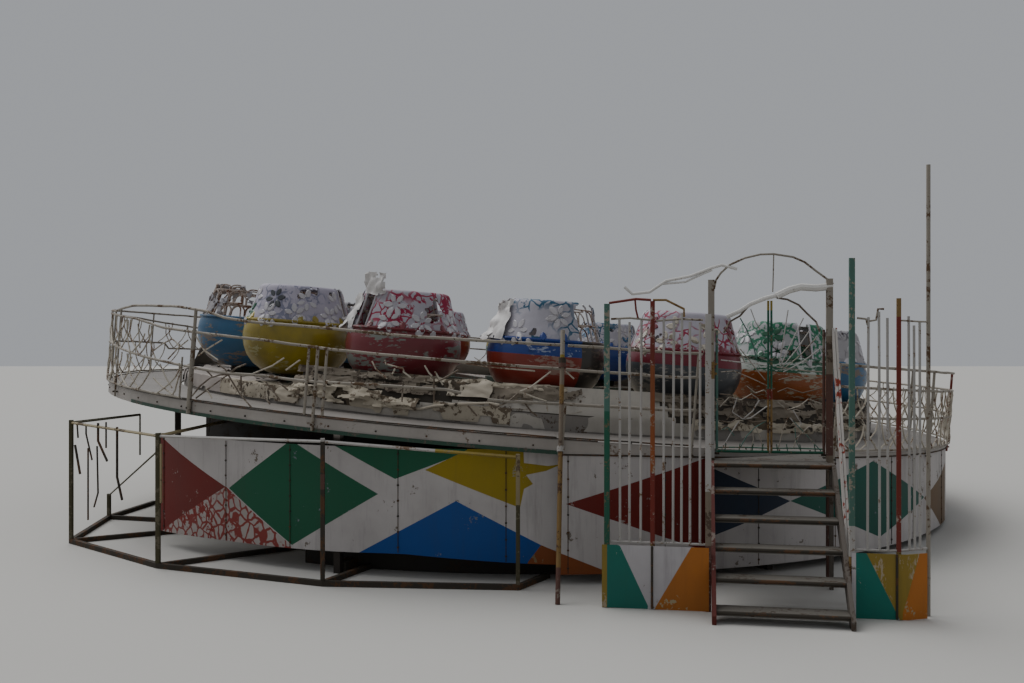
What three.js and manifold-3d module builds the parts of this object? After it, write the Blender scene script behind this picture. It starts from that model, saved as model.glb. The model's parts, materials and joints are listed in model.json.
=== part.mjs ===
// A tilted platform tub ride: tub cars on a tilted turntable, inside a railed walkway,
// with a painted skirt, an open ground frame and an entrance stair with a gate.
// Millimetres, +Z up. The origin is on the ground below the middle of the turntable,
// and the entrance is on the -Y side.

import * as THREE from "three";
import { mergeVertices } from "three/addons/utils/BufferGeometryUtils.js";
import Module from "manifold-3d";

const wasm = await Module();
wasm.setup();

// Driving dimensions
const GAP = 0.3; // between pieces that touch
const TILT = 4.3; // degrees, the +X side is the low one
const DECK_HEIGHT = 1364; // top of the walkway over the origin
const ARC_STEP = 5; // degrees to a flat on the walkway and the skirt
const RAIL_STEP = 7.5; // degrees to a flat on the railings and the turntable

const DECK_RADIUS = 5720;
const DECK_INNER_RADIUS = 4830;
const SHEET = 25; // walkway plate
const BAND_DEPTH = 140; // edge band below the walkway's top
const BAND_LEAST = 30; // where the skirt comes up to the walkway's edge
const BAND_TAPER = 20; // degrees in which most of the band's depth is lost
const SECTOR = 45; // degrees to a walkway section
const SECTOR_START = 2.5; // degrees from the near side, towards +X
const BAND_THICKNESS = 25;

const LEG_WIDTH = 70;
const OPEN_SECTION = 6; // walkway section with no skirt below it, on the left
const INNER_LEG_RADIUS = 4900; // its leg stands under the walkway's inner edge
const JOIST_DEPTH = 85;
const JOIST_WIDTH = 80;
const BEAM_WIDTH = 120; // ground beams
const BEAM_DEPTH = 100;
const FOOT_PLATE = { radius: 650, height: 130 };
const COLUMN_RADIUS = 300;
const HEAD_RADIUS = 480;
const HEAD_DEPTH = 305;

const PAN_RADIUS = 4790;
const PAN_TOP = 170; // above the walkway
const PAN_THICKNESS = 60;
const PAN_RIM = 12; // underside of the pan's down-turned rim
const HUB_RADIUS = 420;
const APRON = { low: 60, high: 450, thickness: 12, lean: 107 }; // raised edge of the turntable's floor
const APRON_START = -32; // degrees
const APRON_END = 276;

const TUB_COUNT = 16;
const TUB_START = 1.5; // degrees
const TUB_RING = 4070;
const TUB_SEAT = 290; // underside of a tub, above the walkway
const TUB_SIDES = 14;
const ARM_TOP = 250;
const TUB_BEARING_RADIUS = 190;

const RAIL_HEIGHTS = [20, 355, 665, 885];
// On the left the rails are bent: [degrees, height] of the upper three
const BENT_RAILS = [
  [[-100, 440], [-65, 490], [-49, 400], [-34, 325], [-16, 366], [15, 345]],
  [[-110, 700], [-90, 800], [-70, 850], [-52, 811], [-38, 717], [-18, 655], [15, 650]],
  [[-75, 885], [-62, 875], [-53, 955], [-42, 975], [-36, 940], [-32, 872], [-8, 852], [15, 880]],
];
const RAIL_BAR = 30;
const POST_BAR = 45;
const POST_FOOT = -130; // the posts stand against the outside of the edge band
const RAIL_RADIUS = DECK_RADIUS + GAP + POST_BAR / 2;

const SKIRT_THICKNESS = 12;
const SKIRT_INNER_RADIUS = 5560; // below the edge band
const SKIRT_OUTER_RADIUS = DECK_RADIUS - BAND_THICKNESS + GAP; // right below the edge band

const STAIR_YAW = -10; // degrees, the flight's turn about Z
const STAIR_TOP = [2160, -5855]; // middle of the top tread
const TREAD_COUNT = 6;
const TREAD_RISE = 208.7;
const TREAD_GOING = 235;
const TREAD_DEPTH = 200;
const TREAD_THICKNESS = 40;
const FIRST_TREAD = 102;
const STRINGER = 35;
const STAIR_HALF = 550;

const GATE_LINE = 240; // behind the top tread's middle
const GATE_BOTTOM = 1210;
const LEAF_WIDTH = 485; // hinge axis to the middle of the gateway
const LEAF_SIDE_HEIGHT = 1150;
const LEAF_MIDDLE_HEIGHT = 1420;
const STILE = 30;
const GATE_POST = 60;
const GATE_POST_HEIGHT = 2830;

const SCREEN_LINE = 900; // in front of the top tread's middle
const PANEL_HEIGHT = 535;
const SCREEN_HEIGHT = 2440;
const SCREEN_POST = 50;

// Finishes
const paint = (color, roughness = 0.7, metalness = 0) =>
  new THREE.MeshStandardMaterial({ color, roughness, metalness });
const greySheet = paint(0x85837f, 0.65, 0.3);
const darkSteel = paint(0x4c443d, 0.75, 0.5);
const paleBar = paint(0xa8a49c, 0.7, 0.3);
const whitePaint = paint(0xc9c6c2);
const greenPaint = paint(0x1b6b4e);
const redPaint = paint(0x8a2f2a);
const creamSheet = paint(0xb9b1a2, 0.8);
const TUB_COLOURS = [0x2f56a0, 0x8c2b2e, 0xc2b02a, 0x2c5f8a, 0x2a6a4c, 0xb05a22, 0x8a3550, 0x3a6f9c];

// Helpers

const radians = THREE.MathUtils.degToRad;

// A point at an angle from the near side (-Y), growing towards +X.
function polar(angle, radius, z = 0) {
  const a = radians(angle);
  return new THREE.Vector3(radius * Math.sin(a), -radius * Math.cos(a), z);
}

const deckMatrix = new THREE.Matrix4()
  .makeTranslation(0, 0, DECK_HEIGHT)
  .multiply(new THREE.Matrix4().makeRotationY(radians(TILT)));

// Height of the walkway's top above a point of the ground.
const deckHeightAt = (x) => DECK_HEIGHT - x * Math.tan(radians(TILT));

// Moves a geometry from the tilted deck's frame to the ground's frame.
const onDeck = (geometry) => geometry.applyMatrix4(deckMatrix);

function toSolid(geometry) {
  const plain = geometry.index ? geometry.toNonIndexed() : geometry.clone();
  plain.deleteAttribute("normal");
  plain.deleteAttribute("uv");
  const merged = mergeVertices(plain, 1e-3);
  return new wasm.Manifold(
    new wasm.Mesh({
      numProp: 3,
      vertProperties: merged.attributes.position.array,
      triVerts: merged.index.array,
    }),
  );
}

function toGeometry(solid) {
  const mesh = solid.getMesh();
  const geometry = new THREE.BufferGeometry();
  geometry.setAttribute("position", new THREE.BufferAttribute(mesh.vertProperties, 3));
  geometry.setIndex(new THREE.BufferAttribute(mesh.triVerts, 1));
  geometry.computeVertexNormals();
  return geometry;
}

const join = (geometries) =>
  toGeometry(geometries.map(toSolid).reduce((whole, next) => whole.add(next)));
const cut = (geometry, tool) => toGeometry(toSolid(geometry).subtract(toSolid(tool)));

function block(width, depth, height, x = 0, y = 0, z = 0) {
  return new THREE.BoxGeometry(width, depth, height).translate(x, y, z);
}

function drum(radius, low, high, sides) {
  return new THREE.CylinderGeometry(radius, radius, high - low, sides)
    .rotateX(Math.PI / 2)
    .translate(0, 0, (low + high) / 2);
}

// A rectangular bar from one point to another, its height kept as upright as it can be.
function bar(from, to, width, height = width) {
  const along = to.clone().sub(from);
  const length = along.length();
  along.normalize();
  const upright = Math.abs(along.z) > 0.99;
  const side = new THREE.Vector3().crossVectors(along, upright ? new THREE.Vector3(0, 1, 0)
    : new THREE.Vector3(0, 0, 1)).normalize();
  const top = new THREE.Vector3().crossVectors(side, along);
  const turn = new THREE.Matrix4().makeBasis(side, along, top);
  return new THREE.BoxGeometry(width, length, height)
    .applyMatrix4(turn)
    .translate((from.x + to.x) / 2, (from.y + to.y) / 2, (from.z + to.z) / 2);
}

// A round rod with few sides from one point to another.
function rod(from, to, radius, sides = 6) {
  const along = to.clone().sub(from);
  const turn = new THREE.Quaternion().setFromUnitVectors(
    new THREE.Vector3(0, 1, 0), along.clone().normalize());
  return new THREE.CylinderGeometry(radius, radius, along.length(), sides)
    .applyQuaternion(turn)
    .translate((from.x + to.x) / 2, (from.y + to.y) / 2, (from.z + to.z) / 2);
}

// A slice of a ring between two angles. low and high are heights, or functions of the angle.
function ringSlice(inner, outer, start, end, low, high, squash = 1, step = ARC_STEP) {
  const steps = Math.max(1, Math.round((end - start) / step));
  const angles = Array.from({ length: steps + 1 }, (_, i) => start + ((end - start) * i) / steps);
  const corners = [
    ...angles.map((a) => polar(a, outer)),
    ...angles.reverse().map((a) => polar(a, inner)),
  ];
  const shape = new THREE.Shape(corners.map((p) => new THREE.Vector2(p.x, p.y)));
  const slice = new THREE.ExtrudeGeometry(shape, { depth: 1, bevelEnabled: false });
  const position = slice.attributes.position;
  const at = (height, angle) => (typeof height === "function" ? height(angle) : height);
  for (let i = 0; i < position.count; i++) {
    const x = position.getX(i);
    const angle = THREE.MathUtils.radToDeg(Math.atan2(x, -position.getY(i)));
    const z = position.getZ(i) > 0.5 ? at(high, angle) : at(low, angle);
    position.setXYZ(i, x * squash, position.getY(i), z);
  }
  slice.computeVertexNormals();
  return slice;
}

const ride = new THREE.Group();
const deck = new THREE.Group(); // the tilted frame of the turntable and the railings
deck.position.z = DECK_HEIGHT;
deck.rotation.y = radians(TILT);
const entrance = new THREE.Group(); // X across the stair, -Y down it
entrance.position.set(STAIR_TOP[0], STAIR_TOP[1], 0);
entrance.rotation.z = radians(STAIR_YAW);
ride.add(deck, entrance);

function addPiece(group, name, geometry, material) {
  const mesh = new THREE.Mesh(geometry, material);
  mesh.name = name;
  group.add(mesh);
  return mesh;
}

// Base: a foot plate, ground beams out to the legs, and a column with a tilted head

// From the axis to a leg's outer face, flat against the skirt below the band
const legFace = SKIRT_INNER_RADIUS * Math.cos(radians(ARC_STEP / 2)) - GAP;

const legAngles = Array.from({ length: 360 / SECTOR }, (_, i) =>
  SECTOR_START + SECTOR * (i + 0.5));

const legRadius = (index) =>
  index === OPEN_SECTION ? INNER_LEG_RADIUS : legFace - LEG_WIDTH / 2;

function centreBase() {
  const beams = legAngles.map((angle, i) => bar(polar(angle, 0, BEAM_DEPTH / 2),
    polar(angle, legRadius(i) - LEG_WIDTH / 2 - GAP, BEAM_DEPTH / 2), BEAM_WIDTH, BEAM_DEPTH));
  const head = onDeck(drum(HEAD_RADIUS, -SHEET - HEAD_DEPTH, -SHEET, 24));
  const column = drum(COLUMN_RADIUS, FOOT_PLATE.height / 2, DECK_HEIGHT - HEAD_DEPTH / 2, 16);
  return join([drum(FOOT_PLATE.radius, 0, FOOT_PLATE.height, 24), column, head, ...beams]);
}

addPiece(ride, "centre_base", centreBase(), darkSteel);

// Walkway: sheet sectors with an edge band, each on a joist and a leg

const hair = 0.01; // degrees between neighbouring sheets
const highSkirtStart = SECTOR_START;
const highSkirtEnd = SECTOR_START + 3 * SECTOR;

// Depth of the edge band. It thins out where the skirt comes up to the walkway.
function bandDepth(angle) {
  const inside = Math.min(angle - highSkirtStart, highSkirtEnd - angle);
  return BAND_LEAST + (BAND_DEPTH - BAND_LEAST) * Math.exp(-Math.max(inside, 0) / BAND_TAPER);
}

// The band is joined from single flats, because its lower edge is a curve.
function edgeBand(start, end) {
  const flats = Math.round((end - start) / ARC_STEP);
  const at = (i) => start + ((end - start) * i) / flats;
  return join(Array.from({ length: flats }, (_, i) => ringSlice(DECK_RADIUS - BAND_THICKNESS,
    DECK_RADIUS, at(i), at(i + 1), (angle) => -bandDepth(angle), -SHEET / 2)));
}

function walkwaySector(index) {
  const start = SECTOR_START + SECTOR * index + hair;
  const end = start + SECTOR - 2 * hair;
  const middle = legAngles[index];
  const plate = ringSlice(DECK_INNER_RADIUS, DECK_RADIUS, start, end, -SHEET, 0);
  const band = edgeBand(start, end);
  const joistZ = -SHEET / 2 - JOIST_DEPTH / 2;
  const joist = bar(polar(middle, DECK_INNER_RADIUS + 20, joistZ),
    polar(middle, legFace - LEG_WIDTH + 10, joistZ), JOIST_WIDTH, JOIST_DEPTH);
  const legCentre = polar(middle, legRadius(index));
  const legTop = deckHeightAt(legCentre.x) - SHEET / 2;
  const leg = block(LEG_WIDTH, LEG_WIDTH, legTop, 0, -legCentre.length(), legTop / 2)
    .rotateZ(radians(middle));
  return join([onDeck(plate), onDeck(band), onDeck(joist), leg]);
}

for (let i = 0; i < 360 / SECTOR; i++) {
  addPiece(ride, `walkway_${i + 1}`, walkwaySector(i), greySheet);
}

// Skirt: upright sheets, set back below the edge band or right under it

const underBand = 1240;
const besideDeck = Math.cos(radians(TILT)); // the tilted deck is this much narrower along X

function lowSkirt(start, end) {
  return ringSlice(SKIRT_INNER_RADIUS, SKIRT_INNER_RADIUS + SKIRT_THICKNESS, start, end, 170,
    (angle) => Math.min(underBand, deckHeightAt(polar(angle, DECK_RADIUS).x) - BAND_DEPTH - 10));
}

function highSkirt(start, end, lowNear, lowFar) {
  const settle = (angle) => THREE.MathUtils.lerp(lowNear, lowFar,
    THREE.MathUtils.smoothstep(angle, start, start + SECTOR));
  const underEdge = (angle) => deckHeightAt(polar(angle, DECK_RADIUS).x * besideDeck)
    - bandDepth(angle) / besideDeck - GAP;
  return ringSlice(SKIRT_OUTER_RADIUS, SKIRT_OUTER_RADIUS + SKIRT_THICKNESS, start, end, settle,
    underEdge, besideDeck);
}

const skirts = {
  skirt_front_left: lowSkirt(SECTOR_START - 50, SECTOR_START - hair),
  skirt_entrance: highSkirt(highSkirtStart, SECTOR_START + SECTOR - hair, 95, 80),
  skirt_right: highSkirt(SECTOR_START + SECTOR, highSkirtEnd - hair, 80, 12),
  skirt_back: lowSkirt(highSkirtEnd, SECTOR_START + 5 * SECTOR),
};
Object.entries(skirts).forEach(([name, geometry]) => addPiece(ride, name, geometry, whitePaint));

// Turntable: a pan that turns on the column's head, and the arms that carry the tubs

function turntablePan() {
  const under = PAN_TOP - PAN_THICKNESS;
  const profile = [
    [0, -SHEET + 0.5], [HUB_RADIUS, -SHEET + 0.5], [HUB_RADIUS, under], [PAN_RADIUS - 60, under],
    [PAN_RADIUS - 60, PAN_RIM], [PAN_RADIUS, PAN_RIM], [PAN_RADIUS, PAN_TOP], [0, PAN_TOP],
  ];
  return new THREE.LatheGeometry(profile.map(([r, z]) => new THREE.Vector2(r, z)), 360 / RAIL_STEP)
    .rotateX(Math.PI / 2);
}

const tubAngles = Array.from({ length: TUB_COUNT }, (_, i) =>
  TUB_START + (360 / TUB_COUNT) * i);

function sweepFrame() {
  const low = PAN_TOP + GAP;
  const armZ = (low + ARM_TOP) / 2;
  const arms = tubAngles.map((angle) =>
    bar(polar(angle, 300, armZ), polar(angle, TUB_RING, armZ), 90, ARM_TOP - low));
  const bearings = tubAngles.map((angle) => {
    const centre = polar(angle, TUB_RING);
    return drum(TUB_BEARING_RADIUS, low, TUB_SEAT - GAP, 8).translate(centre.x, centre.y, 0);
  });
  return join([drum(620, low, 340, 20), ...arms, ...bearings]);
}

// The apron stands against the pan's rim and leans in above it; on the left it is missing.
function turntableApron() {
  const { low, high, thickness, lean } = APRON;
  const inner = PAN_RADIUS + GAP;
  const profile = [
    [inner, low], [inner + thickness, low], [inner + thickness, PAN_TOP + 5],
    [inner + thickness - lean, high], [inner - lean, high], [inner, PAN_TOP + 5], [inner, low],
  ];
  const ring = new THREE.LatheGeometry(profile.map(([r, z]) => new THREE.Vector2(r, z)), 360 / RAIL_STEP)
    .rotateX(Math.PI / 2);
  const reach = 2 * PAN_RADIUS;
  const missing = new THREE.Shape([
    new THREE.Vector2(0, 0),
    polar(APRON_END - 360, reach),
    polar(APRON_START, reach),
  ]);
  const wedge = new THREE.ExtrudeGeometry(missing, { depth: 2 * high, bevelEnabled: false });
  return cut(ring, wedge);
}

addPiece(deck, "turntable_pan", turntablePan(), creamSheet);
addPiece(deck, "turntable_apron", turntableApron(), greySheet);
addPiece(deck, "sweep_frame", sweepFrame(), darkSteel);

// Tubs: one moulded shell each, a bowl with a bench and a crown in two lobes

const CROWN_GAP = 150;
const RIM_HEIGHT = 600;

function tubShell() {
  const profile = [
    [0, 0], [300, 0], [500, 110], [620, 300], [636, 450], [600, RIM_HEIGHT], [479, 990], [430, 1040],
    [400, 1026], [448, 975], [562, RIM_HEIGHT], [596, 340], [300, 340], [285, 90], [0, 90],
  ];
  const shell = new THREE.LatheGeometry(profile.map(([r, z]) => new THREE.Vector2(r, z)), TUB_SIDES)
    .rotateX(Math.PI / 2);
  return cut(shell, block(1400, CROWN_GAP, 500, 0, 0, RIM_HEIGHT + 270));
}

const tubGeometry = tubShell();
const PARKED = [20, -35, 60, 10, 75, -20, 40, 0, 55, 15, -50, 30, 80, -10, 35, 65]; // degrees

tubAngles.forEach((angle, i) => {
  const number = String(i + 1).padStart(2, "0");
  const gelcoat = paint(TUB_COLOURS[i % TUB_COLOURS.length], 0.4);
  const tub = addPiece(deck, `tub_${number}`, tubGeometry, gelcoat);
  tub.position.copy(polar(angle, TUB_RING, TUB_SEAT));
  tub.rotation.z = radians(angle + PARKED[i]);
});

// Railing: posts and four bars to a section

// From the axis to the inner face of a post that stands flat against the edge band
function postSeat(angle) {
  const flat = Math.floor((angle - SECTOR_START) / ARC_STEP) + 0.5;
  const off = radians(angle - SECTOR_START - flat * ARC_STEP);
  const apothem = DECK_RADIUS * Math.cos(radians(ARC_STEP / 2));
  const reach = (apothem + (POST_BAR / 2) * Math.abs(Math.sin(off))) / Math.cos(off);
  return Math.min(reach, DECK_RADIUS) + GAP;
}

// Height of a rail at an angle, straight between the places where the bent rails are known
function railHeight(level, angle) {
  const bends = BENT_RAILS[level - 1] ?? [];
  const turned = angle > 180 ? angle - 360 : angle;
  const after = bends.findIndex(([place]) => place >= turned);
  if (after < 1) return RAIL_HEIGHTS[level];
  const [[a0, z0], [a1, z1]] = [bends[after - 1], bends[after]];
  return z0 + ((z1 - z0) * (turned - a0)) / (a1 - a0);
}

function railPost(angle, spare = 0) {
  const top = RAIL_HEIGHTS[3] + RAIL_BAR / 2 + spare;
  const centre = -postSeat(angle) - POST_BAR / 2;
  return block(POST_BAR + spare, POST_BAR + spare, top - POST_FOOT, 0, centre, (top + POST_FOOT) / 2)
    .rotateZ(radians(angle));
}

const POST_HALF_ANGLE = 0.35; // degrees, half the way between the end posts of two sections

function railing(start, end, innerPosts) {
  const first = start + POST_HALF_ANGLE;
  const last = end - POST_HALF_ANGLE;
  const rails = RAIL_HEIGHTS.map((_, level) => ringSlice(RAIL_RADIUS - RAIL_BAR / 2,
    RAIL_RADIUS + RAIL_BAR / 2, first, last, (angle) => railHeight(level, angle) - RAIL_BAR / 2,
    (angle) => railHeight(level, angle) + RAIL_BAR / 2 - 1, 1, RAIL_STEP));
  const posts = [first, ...innerPosts, last].map((angle) => railPost(angle));
  return join([...rails, ...posts]);
}

// Even posts between the ends of a section, about 20 degrees apart
function evenPosts(start, end) {
  const bays = Math.round((end - start) / 20);
  return Array.from({ length: bays - 1 }, (_, i) => start + ((end - start) * (i + 1)) / bays);
}

const NEAR_POST = 2.3; // degrees
const GATE_SIDE_LEFT = 15.4;
const GATE_SIDE_RIGHT = 31.5;
const LEFT_POST = 320.2;
const railings = {
  railing_near: railing(NEAR_POST, GATE_SIDE_LEFT, []),
  railing_right: railing(GATE_SIDE_RIGHT, 92.5, evenPosts(GATE_SIDE_RIGHT, 92.5)),
  railing_far_right: railing(92.5, 160, evenPosts(92.5, 160)),
  railing_far_left: railing(160, 227.5, evenPosts(160, 227.5)),
  railing_left: railing(227.5, LEFT_POST, evenPosts(227.5, LEFT_POST)),
  railing_front_left: railing(LEFT_POST - 360, NEAR_POST, [-21]),
};
Object.entries(railings).forEach(([name, geometry]) => addPiece(deck, name, geometry, paleBar));

// Rim pole: a leaning prop, its foot on the ground and its upper end against the railing's end post

function rimPole() {
  const foot = new THREE.Vector3(190, -6420, 0);
  const seat = new THREE.Vector3(264, -5780, 2250);
  const upper = foot.clone().lerp(seat, 1.045);
  const pole = bar(foot.clone().lerp(seat, -0.02), upper, 50);
  const aboveGround = cut(pole, block(400, 400, 200, foot.x, foot.y, -100));
  return cut(aboveGround, onDeck(railPost(NEAR_POST - POST_HALF_ANGLE, 2 * GAP)));
}

addPiece(ride, "rim_pole", rimPole(), paint(0x9a6a2c));

// Outer ground frame: corners set out by hand, from the near side to the left

const frameCorners = [
  [-146, -5890], [-1942, -5740], [-3716, -4970], [-5120, -3680], [-5308, -2090], [-5150, -900],
].map(([x, y]) => new THREE.Vector3(x, y, 0));
const SILL = 50;
const FRAME_POST = 45;
const framePostHeights = [1230, 1360, 1341, 1374, 320];
const STUB_TOP = 300; // where the brace meets the back corner's short post
const DROP_BAR = 24;
const DROP_FOOT = 737;
const TOP_RAIL = 32;
const BRACE_TOP = 1165;
const BRACE_BAR = 24;
const TIE_BAR = 36;
const tieEnd = new THREE.Vector3(-3500, -3250, 1330); // over the skirt's upper edge
const backRailEnd = new THREE.Vector3(-5160, -1400, 1275); // its free end, where a short bar hangs

const lifted = (point, z) => new THREE.Vector3(point.x, point.y, z);

function outerFrameSill() {
  const z = SILL / 2;
  const sides = frameCorners.slice(1).map((corner, i) =>
    bar(lifted(frameCorners[i], z), lifted(corner, z), SILL));
  const corners = frameCorners.map((corner) =>
    drum(SILL * 0.55, 0, SILL, 8).translate(corner.x, corner.y, 0));
  const ties = [
    bar(lifted(frameCorners[0], z), new THREE.Vector3(140, -5400, z), SILL),
    bar(lifted(frameCorners[1], z), new THREE.Vector3(-1435, -4590, z), SILL),
    bar(lifted(frameCorners[2], z), new THREE.Vector3(-1019, -2800, z), SILL),
    bar(lifted(frameCorners[3], z), new THREE.Vector3(-3552, -2720, z), SILL),
    bar(lifted(frameCorners[4], z), new THREE.Vector3(-4200, -2420, z), SILL),
  ];
  const beamAngle = legAngles[legAngles.length - 1];
  const beam = bar(polar(beamAngle, 0, BEAM_DEPTH / 2), polar(beamAngle, legFace, BEAM_DEPTH / 2),
    BEAM_WIDTH + 2 * GAP, BEAM_DEPTH + 2 * GAP);
  return cut(join([...sides, ...corners, ...ties]), beam);
}

function outerFrameRail() {
  const posts = framePostHeights.map((height, i) => {
    const { x, y } = frameCorners[i];
    return block(FRAME_POST, FRAME_POST, height - SILL - GAP, x, y, (height + SILL + GAP) / 2);
  });
  const topOf = (i) => lifted(frameCorners[i], framePostHeights[i] - 30);
  const topRails = [0, 1, 2].map((i) => bar(topOf(i), topOf(i + 1), TOP_RAIL));
  const brace = bar(lifted(frameCorners[2], BRACE_TOP), lifted(frameCorners[4], STUB_TOP), BRACE_BAR);
  const tie = bar(topOf(2), tieEnd, TIE_BAR);
  const backRail = bar(topOf(3), backRailEnd, TOP_RAIL);
  const drop = bar(backRailEnd, lifted(backRailEnd, DROP_FOOT), DROP_BAR);
  return join([...posts, ...topRails, brace, tie, backRail, drop]);
}

addPiece(ride, "outer_frame_sill", outerFrameSill(), darkSteel);
addPiece(ride, "outer_frame_rail", outerFrameRail(), darkSteel);

// Entrance stair. Here x runs across the flight and y is minus the way down it.

const treadY = (step) => -TREAD_GOING * (TREAD_COUNT - 1 - step);
const treadTop = (step) => FIRST_TREAD + TREAD_RISE * step;
const treadHalf = STAIR_HALF - STRINGER - GAP;

for (let step = 0; step < TREAD_COUNT; step++) {
  const tread = block(2 * treadHalf, TREAD_DEPTH, TREAD_THICKNESS, 0, treadY(step),
    treadTop(step) - TREAD_THICKNESS / 2);
  addPiece(entrance, `tread_${step + 1}`, tread, greySheet);
}

function stringer(side) {
  const slope = TREAD_RISE / TREAD_GOING;
  const toe = 1330; // from the top tread's middle to the stringer's foot
  const upper = (out) => 70 + slope * (toe - out);
  const top = 1147;
  const back = -100;
  const band = 180; // measured upright
  const profile = [
    [toe, 0], [toe, 70], [toe - (top - 70) / slope, top], [back, top], [back, 0], [back + 50, 0],
    [back + 50, upper(back + 50) - band], [toe - (band - 70) / slope, 0],
  ];
  const shape = new THREE.Shape(profile.map(([out, z]) => new THREE.Vector2(out, z)));
  const plate = new THREE.ExtrudeGeometry(shape, { depth: STRINGER, bevelEnabled: false });
  // the shape's x is the way down the flight, its y is height
  const place = new THREE.Matrix4().makeBasis(new THREE.Vector3(0, -1, 0), new THREE.Vector3(0, 0, 1),
    new THREE.Vector3(-1, 0, 0));
  plate.applyMatrix4(place);
  return plate.translate(side > 0 ? STAIR_HALF : STRINGER - STAIR_HALF, 0, 0);
}

addPiece(entrance, "stringer_left", stringer(-1), redPaint);
addPiece(entrance, "stringer_right", stringer(1), darkSteel);

const gateY = GATE_LINE;
const gatePostX = LEAF_WIDTH + STILE / 2 + 6 + GATE_POST / 2;

function landing() {
  const front = TREAD_DEPTH / 2 + GAP;
  const length = 1300;
  const half = gatePostX - GATE_POST / 2 - GAP;
  const plate = block(2 * half, length, TREAD_THICKNESS, 0, front + length / 2,
    treadTop(TREAD_COUNT - 1) - TREAD_THICKNESS / 2);
  entrance.updateMatrixWorld();
  plate.applyMatrix4(entrance.matrixWorld);
  const clear = DECK_RADIUS + GAP;
  const start = SECTOR_START - 4 * ARC_STEP;
  return cut(plate, ringSlice(1, clear, start, start + 18 * ARC_STEP, 0, 3000, besideDeck));
}

addPiece(ride, "landing", landing(), greySheet);

// Gate: two posts with a rod arch, and two leaves with sunburst rods

// An upright half ellipse. It starts at the given side, and part is how much of it is followed.
class RoundTop extends THREE.Curve {
  constructor(half, spring, rise, y, side = -1, part = 1) {
    super();
    Object.assign(this, { half, spring, rise, y, side, part });
  }
  getPoint(t, target = new THREE.Vector3()) {
    const a = Math.PI * t * this.part;
    return target.set(this.side * this.half * Math.cos(a), this.y, this.spring + this.rise * Math.sin(a));
  }
}

function bentRod(curve, radius, steps) {
  const section = new THREE.Shape();
  section.setFromPoints([[1, 1], [-1, 1], [-1, -1], [1, -1]].map(([x, y]) =>
    new THREE.Vector2(x * radius, y * radius)));
  return new THREE.ExtrudeGeometry(section, { steps, bevelEnabled: false, extrudePath: curve });
}

const ARCH_RISE = 210;
const LUG = { length: 60, depth: 30, height: 20 };

function gateFrame() {
  const posts = [-1, 1].map((side) =>
    block(GATE_POST, GATE_POST, GATE_POST_HEIGHT, side * gatePostX, gateY, GATE_POST_HEIGHT / 2));
  const lugs = [-1, 1].map((side) =>
    block(LUG.length, LUG.depth, LUG.height, side * (gatePostX - 45), gateY,
      GATE_BOTTOM - LUG.height / 2 - 0.5));
  const arch = bentRod(new RoundTop(gatePostX, GATE_POST_HEIGHT - 15, ARCH_RISE, gateY), 10, 14);
  return join([...posts, ...lugs, arch]);
}

addPiece(entrance, "gate_frame", gateFrame(), paleBar);

function gateLeaf(side) {
  const at = (x, z) => new THREE.Vector3(side * x, gateY, GATE_BOTTOM + z);
  const meeting = 8; // from the gateway's middle to the leaf's free edge
  const thin = 7;
  const bottom = bar(at(LEAF_WIDTH, 15), at(meeting, 15), 24, 30);
  const hingeStile = rod(at(LEAF_WIDTH, 0), at(LEAF_WIDTH, LEAF_SIDE_HEIGHT + 5), STILE / 2, 6);
  const meetingStile = bar(at(meeting + 10, 0), at(meeting + 10, LEAF_MIDDLE_HEIGHT), 20, 20);
  const middle = bar(at(LEAF_WIDTH, 640), at(meeting + 10, 640), 20, 20);
  const rise = LEAF_MIDDLE_HEIGHT - LEAF_SIDE_HEIGHT;
  const quarter = Math.acos((meeting + 10) / LEAF_WIDTH) / Math.PI;
  const top = new RoundTop(LEAF_WIDTH, GATE_BOTTOM + LEAF_SIDE_HEIGHT, rise, gateY, side, quarter);
  const topBar = bentRod(top, 9, 5);
  const sunHub = at(meeting + 10, 700);
  const sun = [0.1, 0.4, 0.6, 0.8].map((t) => rod(sunHub, top.getPoint(t), thin, 4));
  const fanHub = at(meeting + 10, 30);
  const fan = [[LEAF_WIDTH, 330], [LEAF_WIDTH, 560], [290, 640]].map(([x, z]) =>
    rod(fanHub, at(x, z), thin, 4));
  return join([bottom, hingeStile, meetingStile, middle, topBar, ...sun, ...fan]);
}

addPiece(entrance, "gate_left", gateLeaf(-1), greenPaint);
addPiece(entrance, "gate_right", gateLeaf(1), greenPaint);

// Handrail: a twin bar from the right gate post down to the foot of the right screen's first post

const screenPostX = STAIR_HALF + GAP + SCREEN_POST / 2;

function handrail() {
  const x = screenPostX + 2;
  const upperY = gateY - GATE_POST / 2 - GAP;
  const lowerY = SCREEN_POST / 2 + GAP - SCREEN_LINE;
  const twin = [-12, 12].map((aside) => bar(new THREE.Vector3(x + aside, upperY + 60, 2430),
    new THREE.Vector3(x + aside, lowerY - 60, -40), 20, 60));
  const spacers = [[upperY - 40, 2200], [lowerY + 200, 480]].map(([y, z]) =>
    bar(new THREE.Vector3(x, y, z), new THREE.Vector3(x, y - 40, z - 86), 12));
  const gatePost = block(200, 200, 4000, x, upperY + 100, 2000);
  const screenPost = block(200, 200, 4000, x, lowerY - 100, 2000);
  const ground = block(400, 3000, 400, x, 0, -200);
  return cut(cut(cut(join([...twin, ...spacers]), gatePost), screenPost), ground);
}

addPiece(entrance, "handrail_right", handrail(), whitePaint);

// Flank screens: posts and upright bars over a painted panel

const screenY = -SCREEN_LINE;
const screenBarRadius = 9;

const lowRailZ = PANEL_HEIGHT + 20;
const topRailZ = SCREEN_HEIGHT - 20;

const screenRail = (from, to, z) => bar(lifted(from, z), lifted(to, z), 25);

function screenBars(from, to, count) {
  return Array.from({ length: count }, (_, i) => {
    const at = from.clone().lerp(to, (i + 1) / (count + 1));
    return rod(lifted(at, lowRailZ), lifted(at, SCREEN_HEIGHT), screenBarRadius, 4);
  });
}

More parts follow.
